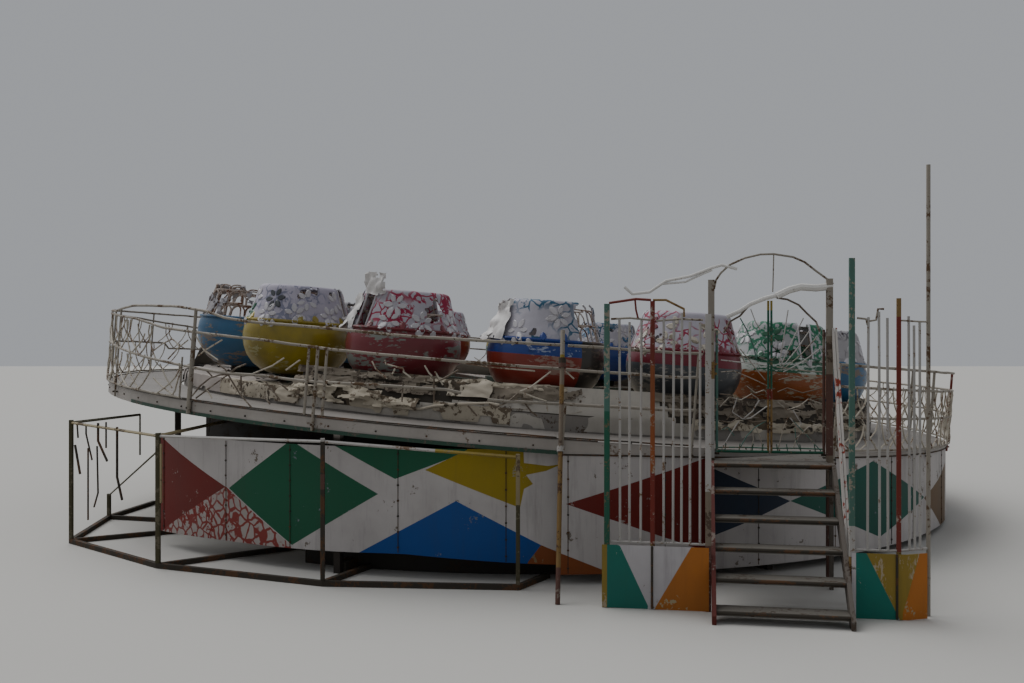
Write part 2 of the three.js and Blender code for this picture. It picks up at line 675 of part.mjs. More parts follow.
function screenPost(x, y, height) {
  return block(SCREEN_POST, SCREEN_POST, height, x, y, height / 2);
}

function leftScreen() {
  const inner = new THREE.Vector3(-screenPostX, screenY, 0);
  const outer = new THREE.Vector3(-1420, screenY, 0);
  const middle = new THREE.Vector3(-1020, screenY, 0);
  const pipeEnd = new THREE.Vector3(-760, screenY, 0);
  const pipe = [
    lifted(outer, 2560), lifted(middle, 2590), lifted(pipeEnd, 2510), lifted(pipeEnd, topRailZ),
  ];
  const pipes = pipe.slice(1).map((to, i) => bar(pipe[i], to, 22, 22));
  return join([
    screenPost(inner.x, screenY, 2480), screenPost(middle.x, screenY, 2590),
    screenPost(outer.x, screenY, 2570), screenRail(outer, inner, lowRailZ),
    screenRail(outer, inner, topRailZ),
    ...screenBars(outer, middle, 3), ...screenBars(middle, inner, 5), ...pipes,
  ]);
}

const POLE_HEIGHT = 3700;
const POLE_RADIUS = 24;
const rightTurn = new THREE.Vector3(960, screenY, 0);
const rightEnd = new THREE.Vector3(1200, screenY + 160, 0);

function rightScreen() {
  const inner = new THREE.Vector3(screenPostX, screenY, 0);
  const pole = rod(lifted(rightEnd, 0), lifted(rightEnd, POLE_HEIGHT), POLE_RADIUS, 8);
  return join([
    screenPost(inner.x, screenY, 2930), screenPost(rightTurn.x, screenY, 2600), pole,
    screenRail(inner, rightTurn, lowRailZ), screenRail(inner, rightTurn, topRailZ),
    screenRail(rightTurn, rightEnd, lowRailZ), screenRail(rightTurn, rightEnd, topRailZ),
    ...screenBars(inner, rightTurn, 3), ...screenBars(rightTurn, rightEnd, 2),
  ]);
}

addPiece(entrance, "flank_screen_left", leftScreen(), whitePaint);
addPiece(entrance, "flank_screen_right", rightScreen(), whitePaint);

const PANEL_THICKNESS = 16;
const panelFace = screenY - SCREEN_POST / 2 - GAP - PANEL_THICKNESS / 2;
const PANEL_LEFT_END = 1460;
const PANEL_STAIR_SIDE = STAIR_HALF + 20;

function leftPanel() {
  const width = PANEL_LEFT_END - PANEL_STAIR_SIDE;
  const middle = -(PANEL_LEFT_END + PANEL_STAIR_SIDE) / 2;
  return block(width, PANEL_THICKNESS, PANEL_HEIGHT - 4, middle, panelFace, PANEL_HEIGHT / 2);
}

function rightPanel() {
  const z = PANEL_HEIGHT / 2;
  const turn = new THREE.Vector3(rightTurn.x + 42, panelFace, z);
  const end = new THREE.Vector3(rightEnd.x - 28, rightEnd.y - 102, z);
  const start = new THREE.Vector3(PANEL_STAIR_SIDE, panelFace, z);
  return join([
    bar(start, turn, PANEL_THICKNESS, PANEL_HEIGHT - 4),
    bar(turn.clone().add(new THREE.Vector3(-6, 0, 0)), end, PANEL_THICKNESS, PANEL_HEIGHT - 4),
  ]);
}

addPiece(entrance, "flank_panel_left", leftPanel(), greenPaint);
addPiece(entrance, "flank_panel_right", rightPanel(), greenPaint);

export default ride;
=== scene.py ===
# %% [markdown]
# This file dresses a fairground ride: sixteen tub cars on a turntable, inside a railed walkway that
# lies tilted over a painted skirt, with a gated stair in front. The ride's frame comes in first, at
# its real size in metres, and every piece made here is fitted to it and moves with one of its bodies.
# %% The frame and its box
import json
import math
import random

import bmesh
import bpy
from mathutils import Matrix, Vector, noise


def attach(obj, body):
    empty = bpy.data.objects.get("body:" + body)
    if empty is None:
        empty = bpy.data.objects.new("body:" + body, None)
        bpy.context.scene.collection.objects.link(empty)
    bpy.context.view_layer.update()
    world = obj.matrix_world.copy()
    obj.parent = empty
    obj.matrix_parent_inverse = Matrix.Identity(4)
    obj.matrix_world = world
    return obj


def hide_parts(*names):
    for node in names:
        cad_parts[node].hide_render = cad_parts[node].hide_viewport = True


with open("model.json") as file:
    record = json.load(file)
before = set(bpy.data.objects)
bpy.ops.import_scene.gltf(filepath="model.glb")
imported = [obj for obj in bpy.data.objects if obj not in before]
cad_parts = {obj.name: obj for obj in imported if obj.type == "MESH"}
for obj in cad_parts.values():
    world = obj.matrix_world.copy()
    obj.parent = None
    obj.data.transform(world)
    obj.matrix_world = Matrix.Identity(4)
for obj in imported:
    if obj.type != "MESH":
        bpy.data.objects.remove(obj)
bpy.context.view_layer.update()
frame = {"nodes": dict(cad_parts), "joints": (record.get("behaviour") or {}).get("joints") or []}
noise.seed_set(5)  # noise vectors start from the clock unless they get a seed
nodes = frame["nodes"]
joints = {joint["name"]: joint for joint in frame["joints"]}

# %% [markdown]
# The walkway and the turntable lie in one tilted plane, and their posts stand square to it. It is
# easiest to place things in the flat, as an angle, a radius and a height, and to tilt them with one
# matrix afterwards. Both the tilt and the height are read from the turntable's own axis.
# %% The tilted deck
spin_axis = Vector(joints["turntable_spin"]["axis"])
spin_point = Vector(joints["turntable_spin"]["pos_m"])
tilt = math.atan2(spin_axis.x, spin_axis.z)
deck_centre = spin_point - spin_axis * (spin_point.x / spin_axis.x)
deck = Matrix.Translation(deck_centre) @ Matrix.Rotation(tilt, 4, "Y")


def polar(angle, radius, height=0.0):
    """A point at an angle in degrees from the near side, growing towards +X."""
    a = math.radians(angle)
    return Vector((radius * math.sin(a), -radius * math.cos(a), height))


def bearing(point):
    """The angle of a place, counted as in polar."""
    return math.degrees(math.atan2(point.x, -point.y))


def on_deck(angle, radius, height=0.0):
    return deck @ polar(angle, radius, height)


def shown(name, data):
    """A new object in the scene."""
    made = bpy.data.objects.new(name, data)
    bpy.context.scene.collection.objects.link(made)
    return made


def looked_up(table, at, otherwise):
    """The value between two points of a table, or another one outside it."""
    for (a0, z0), (a1, z1) in zip(table, table[1:]):
        if a0 <= at <= a1:
            return z0 + (z1 - z0) * (at - a0) / (a1 - a0)
    return otherwise


print(f"deck: {math.degrees(tilt):.2f} degrees of tilt, {deck_centre.z:.3f} m up")

# %% [markdown]
# The camera stands a little above eye height and looks level, so all uprights stay upright in the
# picture. Its lens is worked out from the focal length in pixels that the stair and the deck's
# ellipse give. The same numbers let a place in the picture be turned back into a place on the ride.
# %% Camera and sight lines
PHOTO_WIDTH = 1024
PHOTO_HEIGHT = 683
SENSOR = 36.0
FOCAL = 1050.0  # pixels
EYE = Vector((-0.20, -15.40, 2.25))

lens = bpy.data.cameras.new("viewpoint")
lens.sensor_width = SENSOR
lens.lens = FOCAL / PHOTO_WIDTH * SENSOR
lens.clip_end = 500
camera = shown("viewpoint", lens)
camera.location = EYE
camera.rotation_euler = (math.radians(90), 0, 0)
bpy.context.scene.camera = camera


def sight(px, py):
    """The direction from the eye through a pixel of the picture."""
    return Vector(((px - PHOTO_WIDTH / 2) / FOCAL, 1.0, (PHOTO_HEIGHT / 2 - py) / FOCAL))


def seen_on_plane(px, py, point, normal):
    ray = sight(px, py)
    return EYE + ray * ((Vector(point) - EYE).dot(normal) / ray.dot(normal))


def reach_round(start, ray, radius):
    """How many rays away the near side of a round wall about the Z axis is."""
    a = ray.x ** 2 + ray.y ** 2
    b = start.x * ray.x + start.y * ray.y
    c = start.x ** 2 + start.y ** 2 - radius ** 2
    return (-b - math.sqrt(max(b * b - a * c, 0))) / a


def seen_on_round(px, py, radius):
    """Where a pixel falls on the near side of an upright round wall: its angle and its height."""
    ray = sight(px, py)
    hit = EYE + ray * reach_round(EYE, ray, radius)
    return bearing(hit), hit.z


def seen_on_ring(px, py, radius):
    """Where a pixel falls on the near side of a round wall that stands square on the deck."""
    flat = deck.inverted()
    ray = sight(px, py)
    return EYE + ray * reach_round(flat @ EYE, flat.to_3x3() @ ray, radius)


print(f"camera: {lens.lens:.1f} mm lens")

# %% [markdown]
# The ride stood under a cloudy sky that was brightest behind it, so whatever faces up is light and
# the upright sheets in front are in soft shade. A grey world and one very wide sun from behind give
# that without hot spots, and a pale floor keeps the eye on the ride.
# %% Floor and light


def colour(code):
    """An sRGB hex colour as the linear values that a shader reads."""
    channels = [int(code[i:i + 2], 16) / 255 for i in (1, 3, 5)]
    return [c / 12.92 if c <= 0.04045 else ((c + 0.055) / 1.055) ** 2.4 for c in channels] + [1.0]


def add(tree, kind, links=(), **settings):
    """Adds a node, sets what it is told, and links or fills its sockets."""
    made = tree.nodes.new("ShaderNode" + kind)
    for name, value in settings.items():
        setattr(made, name, value)
    for socket, value in dict(links).items():
        if isinstance(value, bpy.types.NodeSocket):
            tree.links.new(value, made.inputs[socket])
        else:
            made.inputs[socket].default_value = value
    return made


FLOOR_SIZE = 160.0
SUN_FROM = Vector((-0.45, 0.40, 0.80))
world = bpy.data.worlds.new("overcast")
world.use_nodes = True
cloud = world.node_tree.nodes["Background"].inputs
cloud["Color"].default_value = colour("#c9ccd1")
cloud["Strength"].default_value = 0.62
bpy.context.scene.world = world

sun = bpy.data.lights.new("wide_sun", "SUN")
sun.energy = 2.4
sun.angle = math.radians(60)
shown("wide_sun", sun).rotation_euler = SUN_FROM.to_track_quat("Z", "Y").to_euler()

floor_mesh = bpy.data.meshes.new("floor")
floor_bm = bmesh.new()
bmesh.ops.create_grid(floor_bm, x_segments=2, y_segments=2, size=FLOOR_SIZE / 2)
floor_bm.to_mesh(floor_mesh)
floor_bm.free()
floor_paint = bpy.data.materials.new("matt_floor")
floor_paint.use_nodes = True
matt = floor_paint.node_tree.nodes["Principled BSDF"].inputs
matt["Base Color"].default_value = colour("#b9b7b2")
matt["Roughness"].default_value = 0.9
floor_mesh.materials.append(floor_paint)
floor = shown("floor", floor_mesh)
print("floor and light are in")

# %% [markdown]
# Nearly everything here is mild steel or glass fibre under brushed-on enamel that has stood outdoors
# for years. Such a finish has the same layers everywhere: enamel that has faded in clouds, grime that
# rain has drawn down in streaks, and chips that let the layer below show, with a raised edge. One
# function lays these over each other, and each finish only says its colours and how worn it is. Where
# paint has crazed, a second one adds a net of lines in the colour below.
# %% Weathered enamel
GRIME = "#37322b"
BARE_ROUGHNESS = 0.88


def weathered(name, paint, under, chips=0.3, chip_size=0.03, chip_shape=(1, 1, 1), streaks=0.35,
              clouds=0.25, roughness=0.62, metallic=0.0, relief=0.0015, coat=0.0):
    """chips is the share of the enamel that has gone; sizes are in metres."""
    material = bpy.data.materials.new(name)
    material.use_nodes = True
    tree = material.node_tree
    surface = tree.nodes["Principled BSDF"]
    place = add(tree, "TexCoord").outputs["Object"]
    # clouds, about a metre across
    fading = add(tree, "TexNoise", {"Vector": place, "Scale": 1.1, "Detail": 6.0, "Roughness": 0.6})
    fade = add(tree, "MapRange", {"Value": fading.outputs["Fac"], "From Min": 0.35, "From Max": 0.68,
                                  "To Min": 0.0, "To Max": clouds})
    faded = add(tree, "Mix", {0: fade.outputs[0], 6: colour(paint), 7: colour(GRIME)}, data_type="RGBA")
    # streaks, a few centimetres wide and a metre long
    drawn = add(tree, "Mapping", {"Vector": place, "Scale": (9, 9, 0.8)})
    run = add(tree, "TexNoise", {"Vector": drawn.outputs[0], "Scale": 1.0, "Detail": 6.0,
                                 "Roughness": 0.7})
    run_mask = add(tree, "MapRange", {"Value": run.outputs["Fac"], "From Min": 0.52, "From Max": 0.85,
                                      "To Min": 0.0, "To Max": streaks})
    dirty = add(tree, "Mix", {0: run_mask.outputs[0], 6: faded.outputs[2], 7: colour(GRIME)},
                data_type="RGBA")
    # chips come in clusters, so the fine pattern is pushed up and down by a slow one
    shaped = add(tree, "Mapping", {"Vector": place, "Scale": chip_shape})
    fine = add(tree, "TexNoise", {"Vector": shaped.outputs[0], "Scale": 1 / chip_size, "Detail": 7.0,
                                  "Roughness": 0.65})
    slow = add(tree, "TexNoise", {"Vector": shaped.outputs[0], "Scale": 0.16 / chip_size, "Detail": 3.0})
    pushed = add(tree, "Math", {0: fine.outputs["Fac"], 1: slow.outputs["Fac"]}, operation="ADD")
    edge = 1.30 - 0.55 * chips
    gone = add(tree, "MapRange", {"Value": pushed.outputs[0], "From Min": edge, "From Max": edge + 0.035})
    worn = add(tree, "Mix", {0: gone.outputs[0], 6: dirty.outputs[2], 7: colour(under)}, data_type="RGBA")
    tree.links.new(worn.outputs[2], surface.inputs["Base Color"])
    dull = add(tree, "MapRange", {"Value": gone.outputs[0], "To Min": roughness, "To Max": BARE_ROUGHNESS})
    tree.links.new(dull.outputs[0], surface.inputs["Roughness"])
    depth = add(tree, "Math", {0: fine.outputs["Fac"], 1: gone.outputs[0]}, operation="SUBTRACT")
    bump = add(tree, "Bump", {"Height": depth.outputs[0], "Strength": 0.5, "Distance": relief})
    tree.links.new(bump.outputs[0], surface.inputs["Normal"])
    surface.inputs["Metallic"].default_value = metallic
    surface.inputs["Coat Weight"].default_value = coat
    surface.inputs["Specular IOR Level"].default_value = 0.3
    return material


def laid_over(material, share, tone):
    """Lays a colour over a material's own, as thick as a socket says."""
    tree = material.node_tree
    base = tree.nodes["Principled BSDF"].inputs["Base Color"]
    mixed = add(tree, "Mix", {0: share, 6: base.links[0].from_socket, 7: tone}, data_type="RGBA")
    tree.links.new(mixed.outputs[2], base)


def veined(name, paint, under, flakes, cells=8.5, width=0.07, share=0.45, flake_size=0.06):
    """Enamel with a net of lines in the under colour. share is how much of it is without lines."""
    material = weathered(name, paint, under, chips=flakes, chip_size=flake_size, streaks=0.15)
    tree = material.node_tree
    place = add(tree, "TexCoord").outputs["Object"]
    sway = add(tree, "TexNoise", {"Vector": place, "Scale": 6.0})
    moved = add(tree, "VectorMath", {0: sway.outputs["Color"], 1: (0.10, 0.10, 0.10), 2: place},
                operation="MULTIPLY_ADD")
    net = add(tree, "TexVoronoi", {"Vector": moved.outputs[0], "Scale": cells}, feature="DISTANCE_TO_EDGE")
    line = add(tree, "MapRange", {"Value": net.outputs["Distance"], "From Min": 0.8 * width,
                                  "From Max": 1.25 * width, "To Min": 1.0, "To Max": 0.0})
    patches = add(tree, "TexNoise", {"Vector": place, "Scale": 2.6, "Detail": 3.0})
    spread = add(tree, "MapRange", {"Value": patches.outputs["Fac"], "From Min": share - 0.05,
                                    "From Max": share + 0.05})
    both = add(tree, "Math", {0: line.outputs[0], 1: spread.outputs[0]}, operation="MULTIPLY")
    laid_over(material, both.outputs[0], colour(under))
    return material


bare_steel = weathered("rusted_mild_steel", "#3f3a33", "#5b4331", chips=0.45, roughness=0.8, metallic=0.3)
pale_pipe = weathered("galvanised_pipe", "#928b80", "#5f4c3a", chips=0.36, chip_size=0.03, metallic=0.3)
brown_pipe = weathered("rusted_pipe", "#64574a", "#8f867a", chips=0.34, chip_size=0.03, metallic=0.2)
cream_rod = weathered("cream_rod", "#b0a899", "#6f5847", chips=0.38, chip_size=0.03)
white_enamel = weathered("white_enamel", "#a3a09c", "#6f5a48", chips=0.26, chip_size=0.02, streaks=0.3)
green_enamel = weathered("green_enamel", "#165440", "#6a5a44", chips=0.30, chip_size=0.02)
teal_enamel = weathered("faded_green_enamel", "#44695f", "#867f72", chips=0.42, chip_size=0.03)
red_enamel = weathered("red_oxide_enamel", "#6c2318", "#94887d", chips=0.30, chip_size=0.02)
orange_enamel = weathered("orange_enamel", "#85461d", "#8f8a7c", chips=0.30, chip_size=0.02)
ochre_enamel = weathered("ochre_enamel", "#7c6238", "#4a3425", chips=0.36, chip_size=0.02)
yellow_enamel = weathered("yellow_enamel", "#85732a", "#7d745c", chips=0.30, chip_size=0.02)
dull_green = weathered("dull_green_enamel", "#2c4a3d", "#57524a", chips=0.38, chip_size=0.03)
hose_white = weathered("bright_white_pipe", "#d2d0cc", "#8f8478", chips=0.16, chip_size=0.03, streaks=0.15)
tan_enamel = weathered("tan_enamel", "#75695b", "#4f4238", chips=0.40, chip_size=0.03)
brown_enamel = weathered("brown_enamel", "#573a32", "#7b7268", chips=0.36, chip_size=0.03)
olive_enamel = weathered("olive_enamel", "#46422e", "#625c4c", chips=0.40, chip_size=0.03, roughness=0.8)
print("enamels:", len(bpy.data.materials))

# %% [markdown]
# The walkway is chequer plate worn smooth and grey, and darker towards the turntable. Its upright edge
# band has painted light: it is given a paler copy of the walkway's colour, so that it looks as lit as
# the walkway. The legs below it carry dark paint. One material can do all of this: the height over the
# deck's plane and the distance from the ride's axis are worked out from the place on the piece. The
# turntable's pan is done the same way, grey round the rim and dark on top, where the dark is its
# underlay and also painted shade in the tears of the floor sheets.
# %% Walkway sheet


def mixed_by_height(material, tone, start, end):
    """Mixes a colour in, from a height over the deck's plane to another."""
    tree = material.node_tree
    place = add(tree, "TexCoord").outputs["Object"]
    height = add(tree, "VectorMath", {0: place, 1: spin_axis}, operation="DOT_PRODUCT")
    plane = deck_centre.dot(spin_axis)
    share = add(tree, "MapRange", {"Value": height.outputs["Value"], "From Min": plane + start,
                                   "From Max": plane + end})
    laid_over(material, share.outputs[0], tone)
    return material


def painted_lighter(material, gain):
    """A socket with the material's own colour, made lighter as painted light."""
    paint = material.node_tree.nodes["Principled BSDF"].inputs["Base Color"].links[0].from_socket
    return add(material.node_tree, "VectorMath", {0: paint, 1: (gain, gain, gain)},
               operation="MULTIPLY").outputs["Vector"]


def walkway_finish():
    material = weathered("worn_deck_sheet", "#85807b", "#5d5248", chips=0.14, chip_size=0.03, streaks=0.12,
                         clouds=0.30, roughness=0.6, metallic=0.1, relief=0.002)
    tree = material.node_tree
    place = add(tree, "TexCoord").outputs["Object"]
    flat = add(tree, "VectorMath", {0: place, 1: (1, 1, 0)}, operation="MULTIPLY")
    reach = add(tree, "VectorMath", {0: flat.outputs[0]}, operation="LENGTH")
    # darker towards the turntable, with a ragged edge to the darkening
    patchy = add(tree, "TexNoise", {"Vector": place, "Scale": 3.0, "Detail": 5.0})
    wander = add(tree, "Math", {0: patchy.outputs["Fac"], 1: 0.5, 2: reach.outputs["Value"]},
                 operation="MULTIPLY_ADD")
    inner = add(tree, "MapRange", {"Value": wander.outputs[0], "From Min": 5.15, "From Max": 5.75,
                                   "To Min": 0.35, "To Max": 0.0})
    laid_over(material, inner.outputs[0], colour("#5f5a54"))
    # painted light: the upright edge band gets a paler copy of the walkway's colour
    mixed_by_height(material, painted_lighter(material, 1.55), -0.004, -0.010)  # the edge band
    return mixed_by_height(material, colour("#2e2823"), -0.16, -0.20)  # the legs and joists


deck_sheet = walkway_finish()
# the pan is dark on top: its dark underlay, which is also painted shade where the floor sheets have torn
pan_sheet = mixed_by_height(weathered("pan_sheet", "#8b8680", "#5d5248", chips=0.22, clouds=0.35,
                                      roughness=0.75), colour("#38332d"), 0.160, 0.168)
cream_sheet = weathered("cream_sheet", "#b9af9c", "#6b5f50", chips=0.46, chip_size=0.05, streaks=0.1,
                        clouds=0.35, roughness=0.75, relief=0.006)
cracked_sheet = weathered("cracked_cream_sheet", "#c4baa8", "#4f463b", chips=0.30, chip_size=0.05,
                          chip_shape=(1, 1, 0.4), streaks=0.1, clouds=0.25, roughness=0.75)
brown_sheet = weathered("brown_sheet", "#82786a", "#4b4138", chips=0.42, chip_size=0.05, streaks=0.2,
                        clouds=0.45, roughness=0.8, relief=0.005)
rosy_sheet = weathered("rosy_grey_sheet", "#b3aaa3", "#6b6058", chips=0.26, chip_size=0.06, streaks=0.1,
                       clouds=0.35, roughness=0.75)
# a dark underlay, which is also painted shade in the tears and behind the apron's strips
underlay_and_painted_shade = weathered("underlay_and_painted_shade", "#38332d", "#5c5244", chips=0.5, chip_size=0.08, roughness=0.9)
# painted light: a grey paler than the walkway's, so that the apron's upright foot looks as lit as the floor
apron_grey_painted_lit = weathered("apron_grey_painted_lit", "#b7b1a7", "#6a6056", chips=0.20, chip_size=0.05, streaks=0.3,
                       clouds=0.4, relief=0.003)


def finish_node(name, material):
    """Gives a node of the frame its finish."""
    slots = nodes[name].data.materials
    slots.clear()
    slots.append(material)


for name in nodes:
    if name.startswith("walkway"):
        finish_node(name, deck_sheet)
finish_node("landing", weathered("landing_sheet", "#5c5852", "#4a3f35", chips=0.28, clouds=0.35))
print("deck finish on", sum(name.startswith("walkway") for name in nodes), "sections")

# %% [markdown]
# A few small helpers make most of the steelwork. A rod is a cylinder between two points; a pipe is a
# circle extruded from point to point, so that it can bend; a post is a box with bevelled edges, cut
# where its colour changes; a ring beam is a rectangle spun round the ride's axis. Shading is smooth
# except over sharp edges, which keeps rod ends crisp.
# %% Helpers for steelwork
SHARP = math.radians(38)


def faces_of(verts):
    return {face for vert in verts for face in vert.link_faces}


def give(faces, material):
    for face in faces:
        face.material_index = material


def rod(bm, start, end, radius, sides=6, material=0):
    start = Vector(start)
    end = Vector(end)
    along = end - start
    place = Matrix.Translation((start + end) / 2) @ along.to_track_quat("Z", "Y").to_matrix().to_4x4()
    made = bmesh.ops.create_cone(bm, cap_ends=True, segments=sides, radius1=radius, radius2=radius,
                                 depth=along.length, matrix=place)["verts"]
    give(faces_of(made), material)
    return made


def pipe(bm, points, radius, sides=8, material=0):
    """A round pipe through the points, closed at both ends."""
    points = [Vector(point) for point in points]
    place = turn = heading = None
    for i, point in enumerate(points):
        ahead = (points[min(i + 1, len(points) - 1)] - points[max(i - 1, 0)]).normalized()
        turn = ahead.to_track_quat("Z", "Y") if turn is None else heading.rotation_difference(ahead) @ turn
        heading = ahead
        there = Matrix.Translation(point) @ turn.to_matrix().to_4x4()
        if place is None:
            ring = bmesh.ops.create_circle(bm, cap_ends=True, segments=sides, radius=radius,
                                           matrix=there)["verts"]
        else:
            grown = bmesh.ops.extrude_edge_only(bm, edges=edges)["geom"]
            ring = [part for part in grown if isinstance(part, bmesh.types.BMVert)]
            bmesh.ops.transform(bm, matrix=there @ place.inverted(), verts=ring)
        give(faces_of(ring), material)
        fresh = set(ring)
        edges = [edge for edge in {e for v in ring for e in v.link_edges} if fresh.issuperset(edge.verts)]
        place = there
    give(bmesh.ops.contextual_create(bm, geom=edges)["faces"], material)


def traced(bm, place, listed, sides=5):
    """Pipes laid where the picture shows them, from radii, colours and pixels."""
    for radius, material, pixels in listed:
        pipe(bm, [place(px, py) for px, py in pixels], radius, sides, material)


def post(bm, foot, top, width, bands, place=Matrix()):
    """A square post. bands lists the height at which each colour starts, from the foot up."""
    foot = Vector(foot)
    height = top - foot.z
    made = bmesh.ops.create_cube(bm, size=1.0)["verts"]
    bmesh.ops.scale(bm, vec=(width, width, height), verts=made)
    uprights = [e for e in {e for v in made for e in v.link_edges}
                if abs(e.verts[0].co.z - e.verts[1].co.z) > 0.5 * height]
    bevelled = bmesh.ops.bevel(bm, geom=uprights, offset=0.12 * width, affect="EDGES", segments=2,
                               profile=0.5, material=-1)
    verts = {v for f in bevelled["faces"] for v in f.verts} | {v for v in made if v.is_valid}
    bmesh.ops.translate(bm, vec=(foot.x, foot.y, foot.z + height / 2), verts=list(verts))
    for level, _ in bands[1:]:
        faces = faces_of(verts)
        geom = list(verts) + list({e for f in faces for e in f.edges}) + list(faces)
        cut = bmesh.ops.bisect_plane(bm, geom=geom, plane_co=(0, 0, foot.z + level), plane_no=(0, 0, 1))
        verts |= {v for v in cut["geom_cut"] if isinstance(v, bmesh.types.BMVert)}
    for face in faces_of(verts):
        middle = face.calc_center_median().z - foot.z
        face.material_index = [material for level, material in bands if middle >= level - 1e-4][-1]
    bmesh.ops.transform(bm, matrix=place, verts=list(verts))


def linked(verts):
    """All the vertices that hang together with the ones given."""
    found = set(verts)
    border = set(verts)
    while border:
        border = {edge.other_vert(vert) for vert in border for edge in vert.link_edges} - found
        found |= border
    return found


def spun(bm, profile, steps, first=0.0, sweep=360.0, closed=False):
    """Spins a profile of radii and heights round the Z axis. Gives back its line, edges and far end."""
    start = polar(first, 1)
    line = [bm.verts.new((start.x * r, start.y * r, z)) for r, z in profile]
    pairs = zip(line, line[1:] + line[:1]) if closed else zip(line, line[1:])
    edges = [bm.edges.new(pair) for pair in pairs]
    swept = bmesh.ops.spin(bm, geom=line + edges, cent=(0, 0, 0), axis=(0, 0, 1),
                           angle=math.radians(sweep), steps=steps, use_merge=sweep == 360)
    return line, edges, swept["geom_last"]


def ring_beam(bm, first, last, inner, outer, low, high):
    """A rectangle spun round the Z axis from one angle to another. Gives back its vertices."""
    profile = ((inner, low), (outer, low), (outer, high), (inner, high))
    line, near, geom = spun(bm, profile, round((last - first) / 3), first, last - first, closed=True)
    far = [part for part in geom if isinstance(part, bmesh.types.BMEdge)]
    for loop in (near, far):
        bmesh.ops.contextual_create(bm, geom=loop)
    return list(linked(line))


def soften(bm, verts):
    """Rounds off the steps along a torn edge."""
    bmesh.ops.smooth_vert(bm, verts=verts, factor=0.5, use_axis_x=True, use_axis_y=True, use_axis_z=True)


def patchwork(bm, count, rows, place, gone, material):
    """A grid of small squares over a surface, without those that are gone. Gives back its faces."""
    grid = [[bm.verts.new(place(i, j)) for j in range(rows + 1)] for i in range(count + 1)]
    made = [bm.faces.new((grid[i][j], grid[i + 1][j], grid[i + 1][j + 1], grid[i][j + 1]))
            for i in range(count) for j in range(rows) if not gone(i, j, grid[i][j].co)]
    give(made, material)
    bmesh.ops.delete(bm, geom=[v for line in grid for v in line if not v.link_faces], context="VERTS")
    return made


def turn_outward(bm, way=None, probe=None):
    """Makes an open sheet's faces look one way, or else away from the axis."""
    bmesh.ops.recalc_face_normals(bm, faces=bm.faces[:])
    bm.faces.ensure_lookup_table()
    probe = probe or bm.faces[0]
    if probe.normal.dot(way or probe.calc_center_median() * Vector((1, 1, 0))) < 0:
        bmesh.ops.reverse_faces(bm, faces=bm.faces[:])


def finish_piece(name, bm, body, materials, replaces=(), outward=True):
    """Turns a bmesh into a piece of the ride that moves with a body."""
    if outward:
        bmesh.ops.recalc_face_normals(bm, faces=bm.faces[:])
    for face in bm.faces:
        face.smooth = True
    for edge in bm.edges:
        edge.smooth = edge.calc_face_angle(0) < SHARP
    mesh = bpy.data.meshes.new(name)
    bm.to_mesh(mesh)
    bm.free()
    for material in materials:
        mesh.materials.append(material)
    piece = shown(name, mesh)
    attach(piece, body)
    if replaces:
        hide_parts(*replaces)
    print(f"{name}: {len(mesh.polygons)} faces")


print("steelwork helpers are ready")

# %% [markdown]
# The skirt is thin steel sheet, bolted to the legs and painted with big plain diamonds and triangles.
# A painted pattern with edges this crisp is best cut into the mesh. The sheet starts as one flat face,
# laid out as angle by height; it is cut along every line of the pattern, trimmed to its own height,
# coloured face by face, and only then wrapped round the ride and given its thickness.
# %% A sheet with a cut-in pattern


def inside(point, corners):
    """Whether a flat point is inside an outline."""
    hit = False
    for (x0, y0), (x1, y1) in zip(corners, corners[1:] + corners[:1]):
        if (y0 > point.y) != (y1 > point.y) and point.x < (x1 - x0) * (point.y - y0) / (y1 - y0) + x0:
            hit = not hit
    return hit


def straight(limit, columns, u):
    """An edge's height at u, on the straight line between its two columns."""
    u0, u1 = max(c for c in columns if c < u), min(c for c in columns if c > u)
    return limit(u0) + (limit(u1) - limit(u0)) * (u - u0) / (u1 - u0)


def cut_flat(bm, start, end, faces=None):
    """Cuts a flat mesh along the line through two points."""
    faces = bm.faces[:] if faces is None else faces
    geom = list({v for f in faces for v in f.verts}) + list({e for f in faces for e in f.edges}) + faces
    across = Vector((start[1] - end[1], end[0] - start[0], 0)).normalized()
    bmesh.ops.bisect_plane(bm, geom=geom, dist=1e-5, plane_co=(start[0], start[1], 0), plane_no=across)


def painted_sheet(span, low, high, columns, shapes, wrap):
    """low and high give the sheet's edges along its length. shapes are (outline, colour) pairs."""
    bm = bmesh.new()
    first, last = span
    bottom = min(low(u) for u in columns)
    top = max(high(u) for u in columns)
    corners = [bm.verts.new((u, v, 0)) for u, v in ((first, bottom), (last, bottom), (last, top),
                                                    (first, top))]
    bm.faces.new(corners)
    for u in columns[1:-1]:
        cut_flat(bm, (u, 0), (u, 1))
    for outline, _ in shapes:
        for start, end in zip(outline, outline[1:] + outline[:1]):
            cut_flat(bm, start, end)
    for u0, u1 in zip(columns, columns[1:]):
        for limit in (high, low):
            bay = [f for f in bm.faces if u0 < f.calc_center_median().x < u1]
            cut_flat(bm, (u0, limit(u0)), (u1, limit(u1)), faces=bay)
    outside = []
    for face in bm.faces:
        middle = face.calc_center_median()
        if not straight(low, columns, middle.x) < middle.y < straight(high, columns, middle.x):
            outside.append(face)
            continue
        face.material_index = 0
        for outline, material in shapes:
            if inside(middle, outline):
                face.material_index = material
    bmesh.ops.delete(bm, geom=outside, context="FACES")
    bmesh.ops.dissolve_degenerate(bm, dist=1e-4, edges=bm.edges[:])
    for vert in bm.verts:
        vert.co = wrap(vert.co.x, vert.co.y)
    return bm


print("sheet helper is ready")

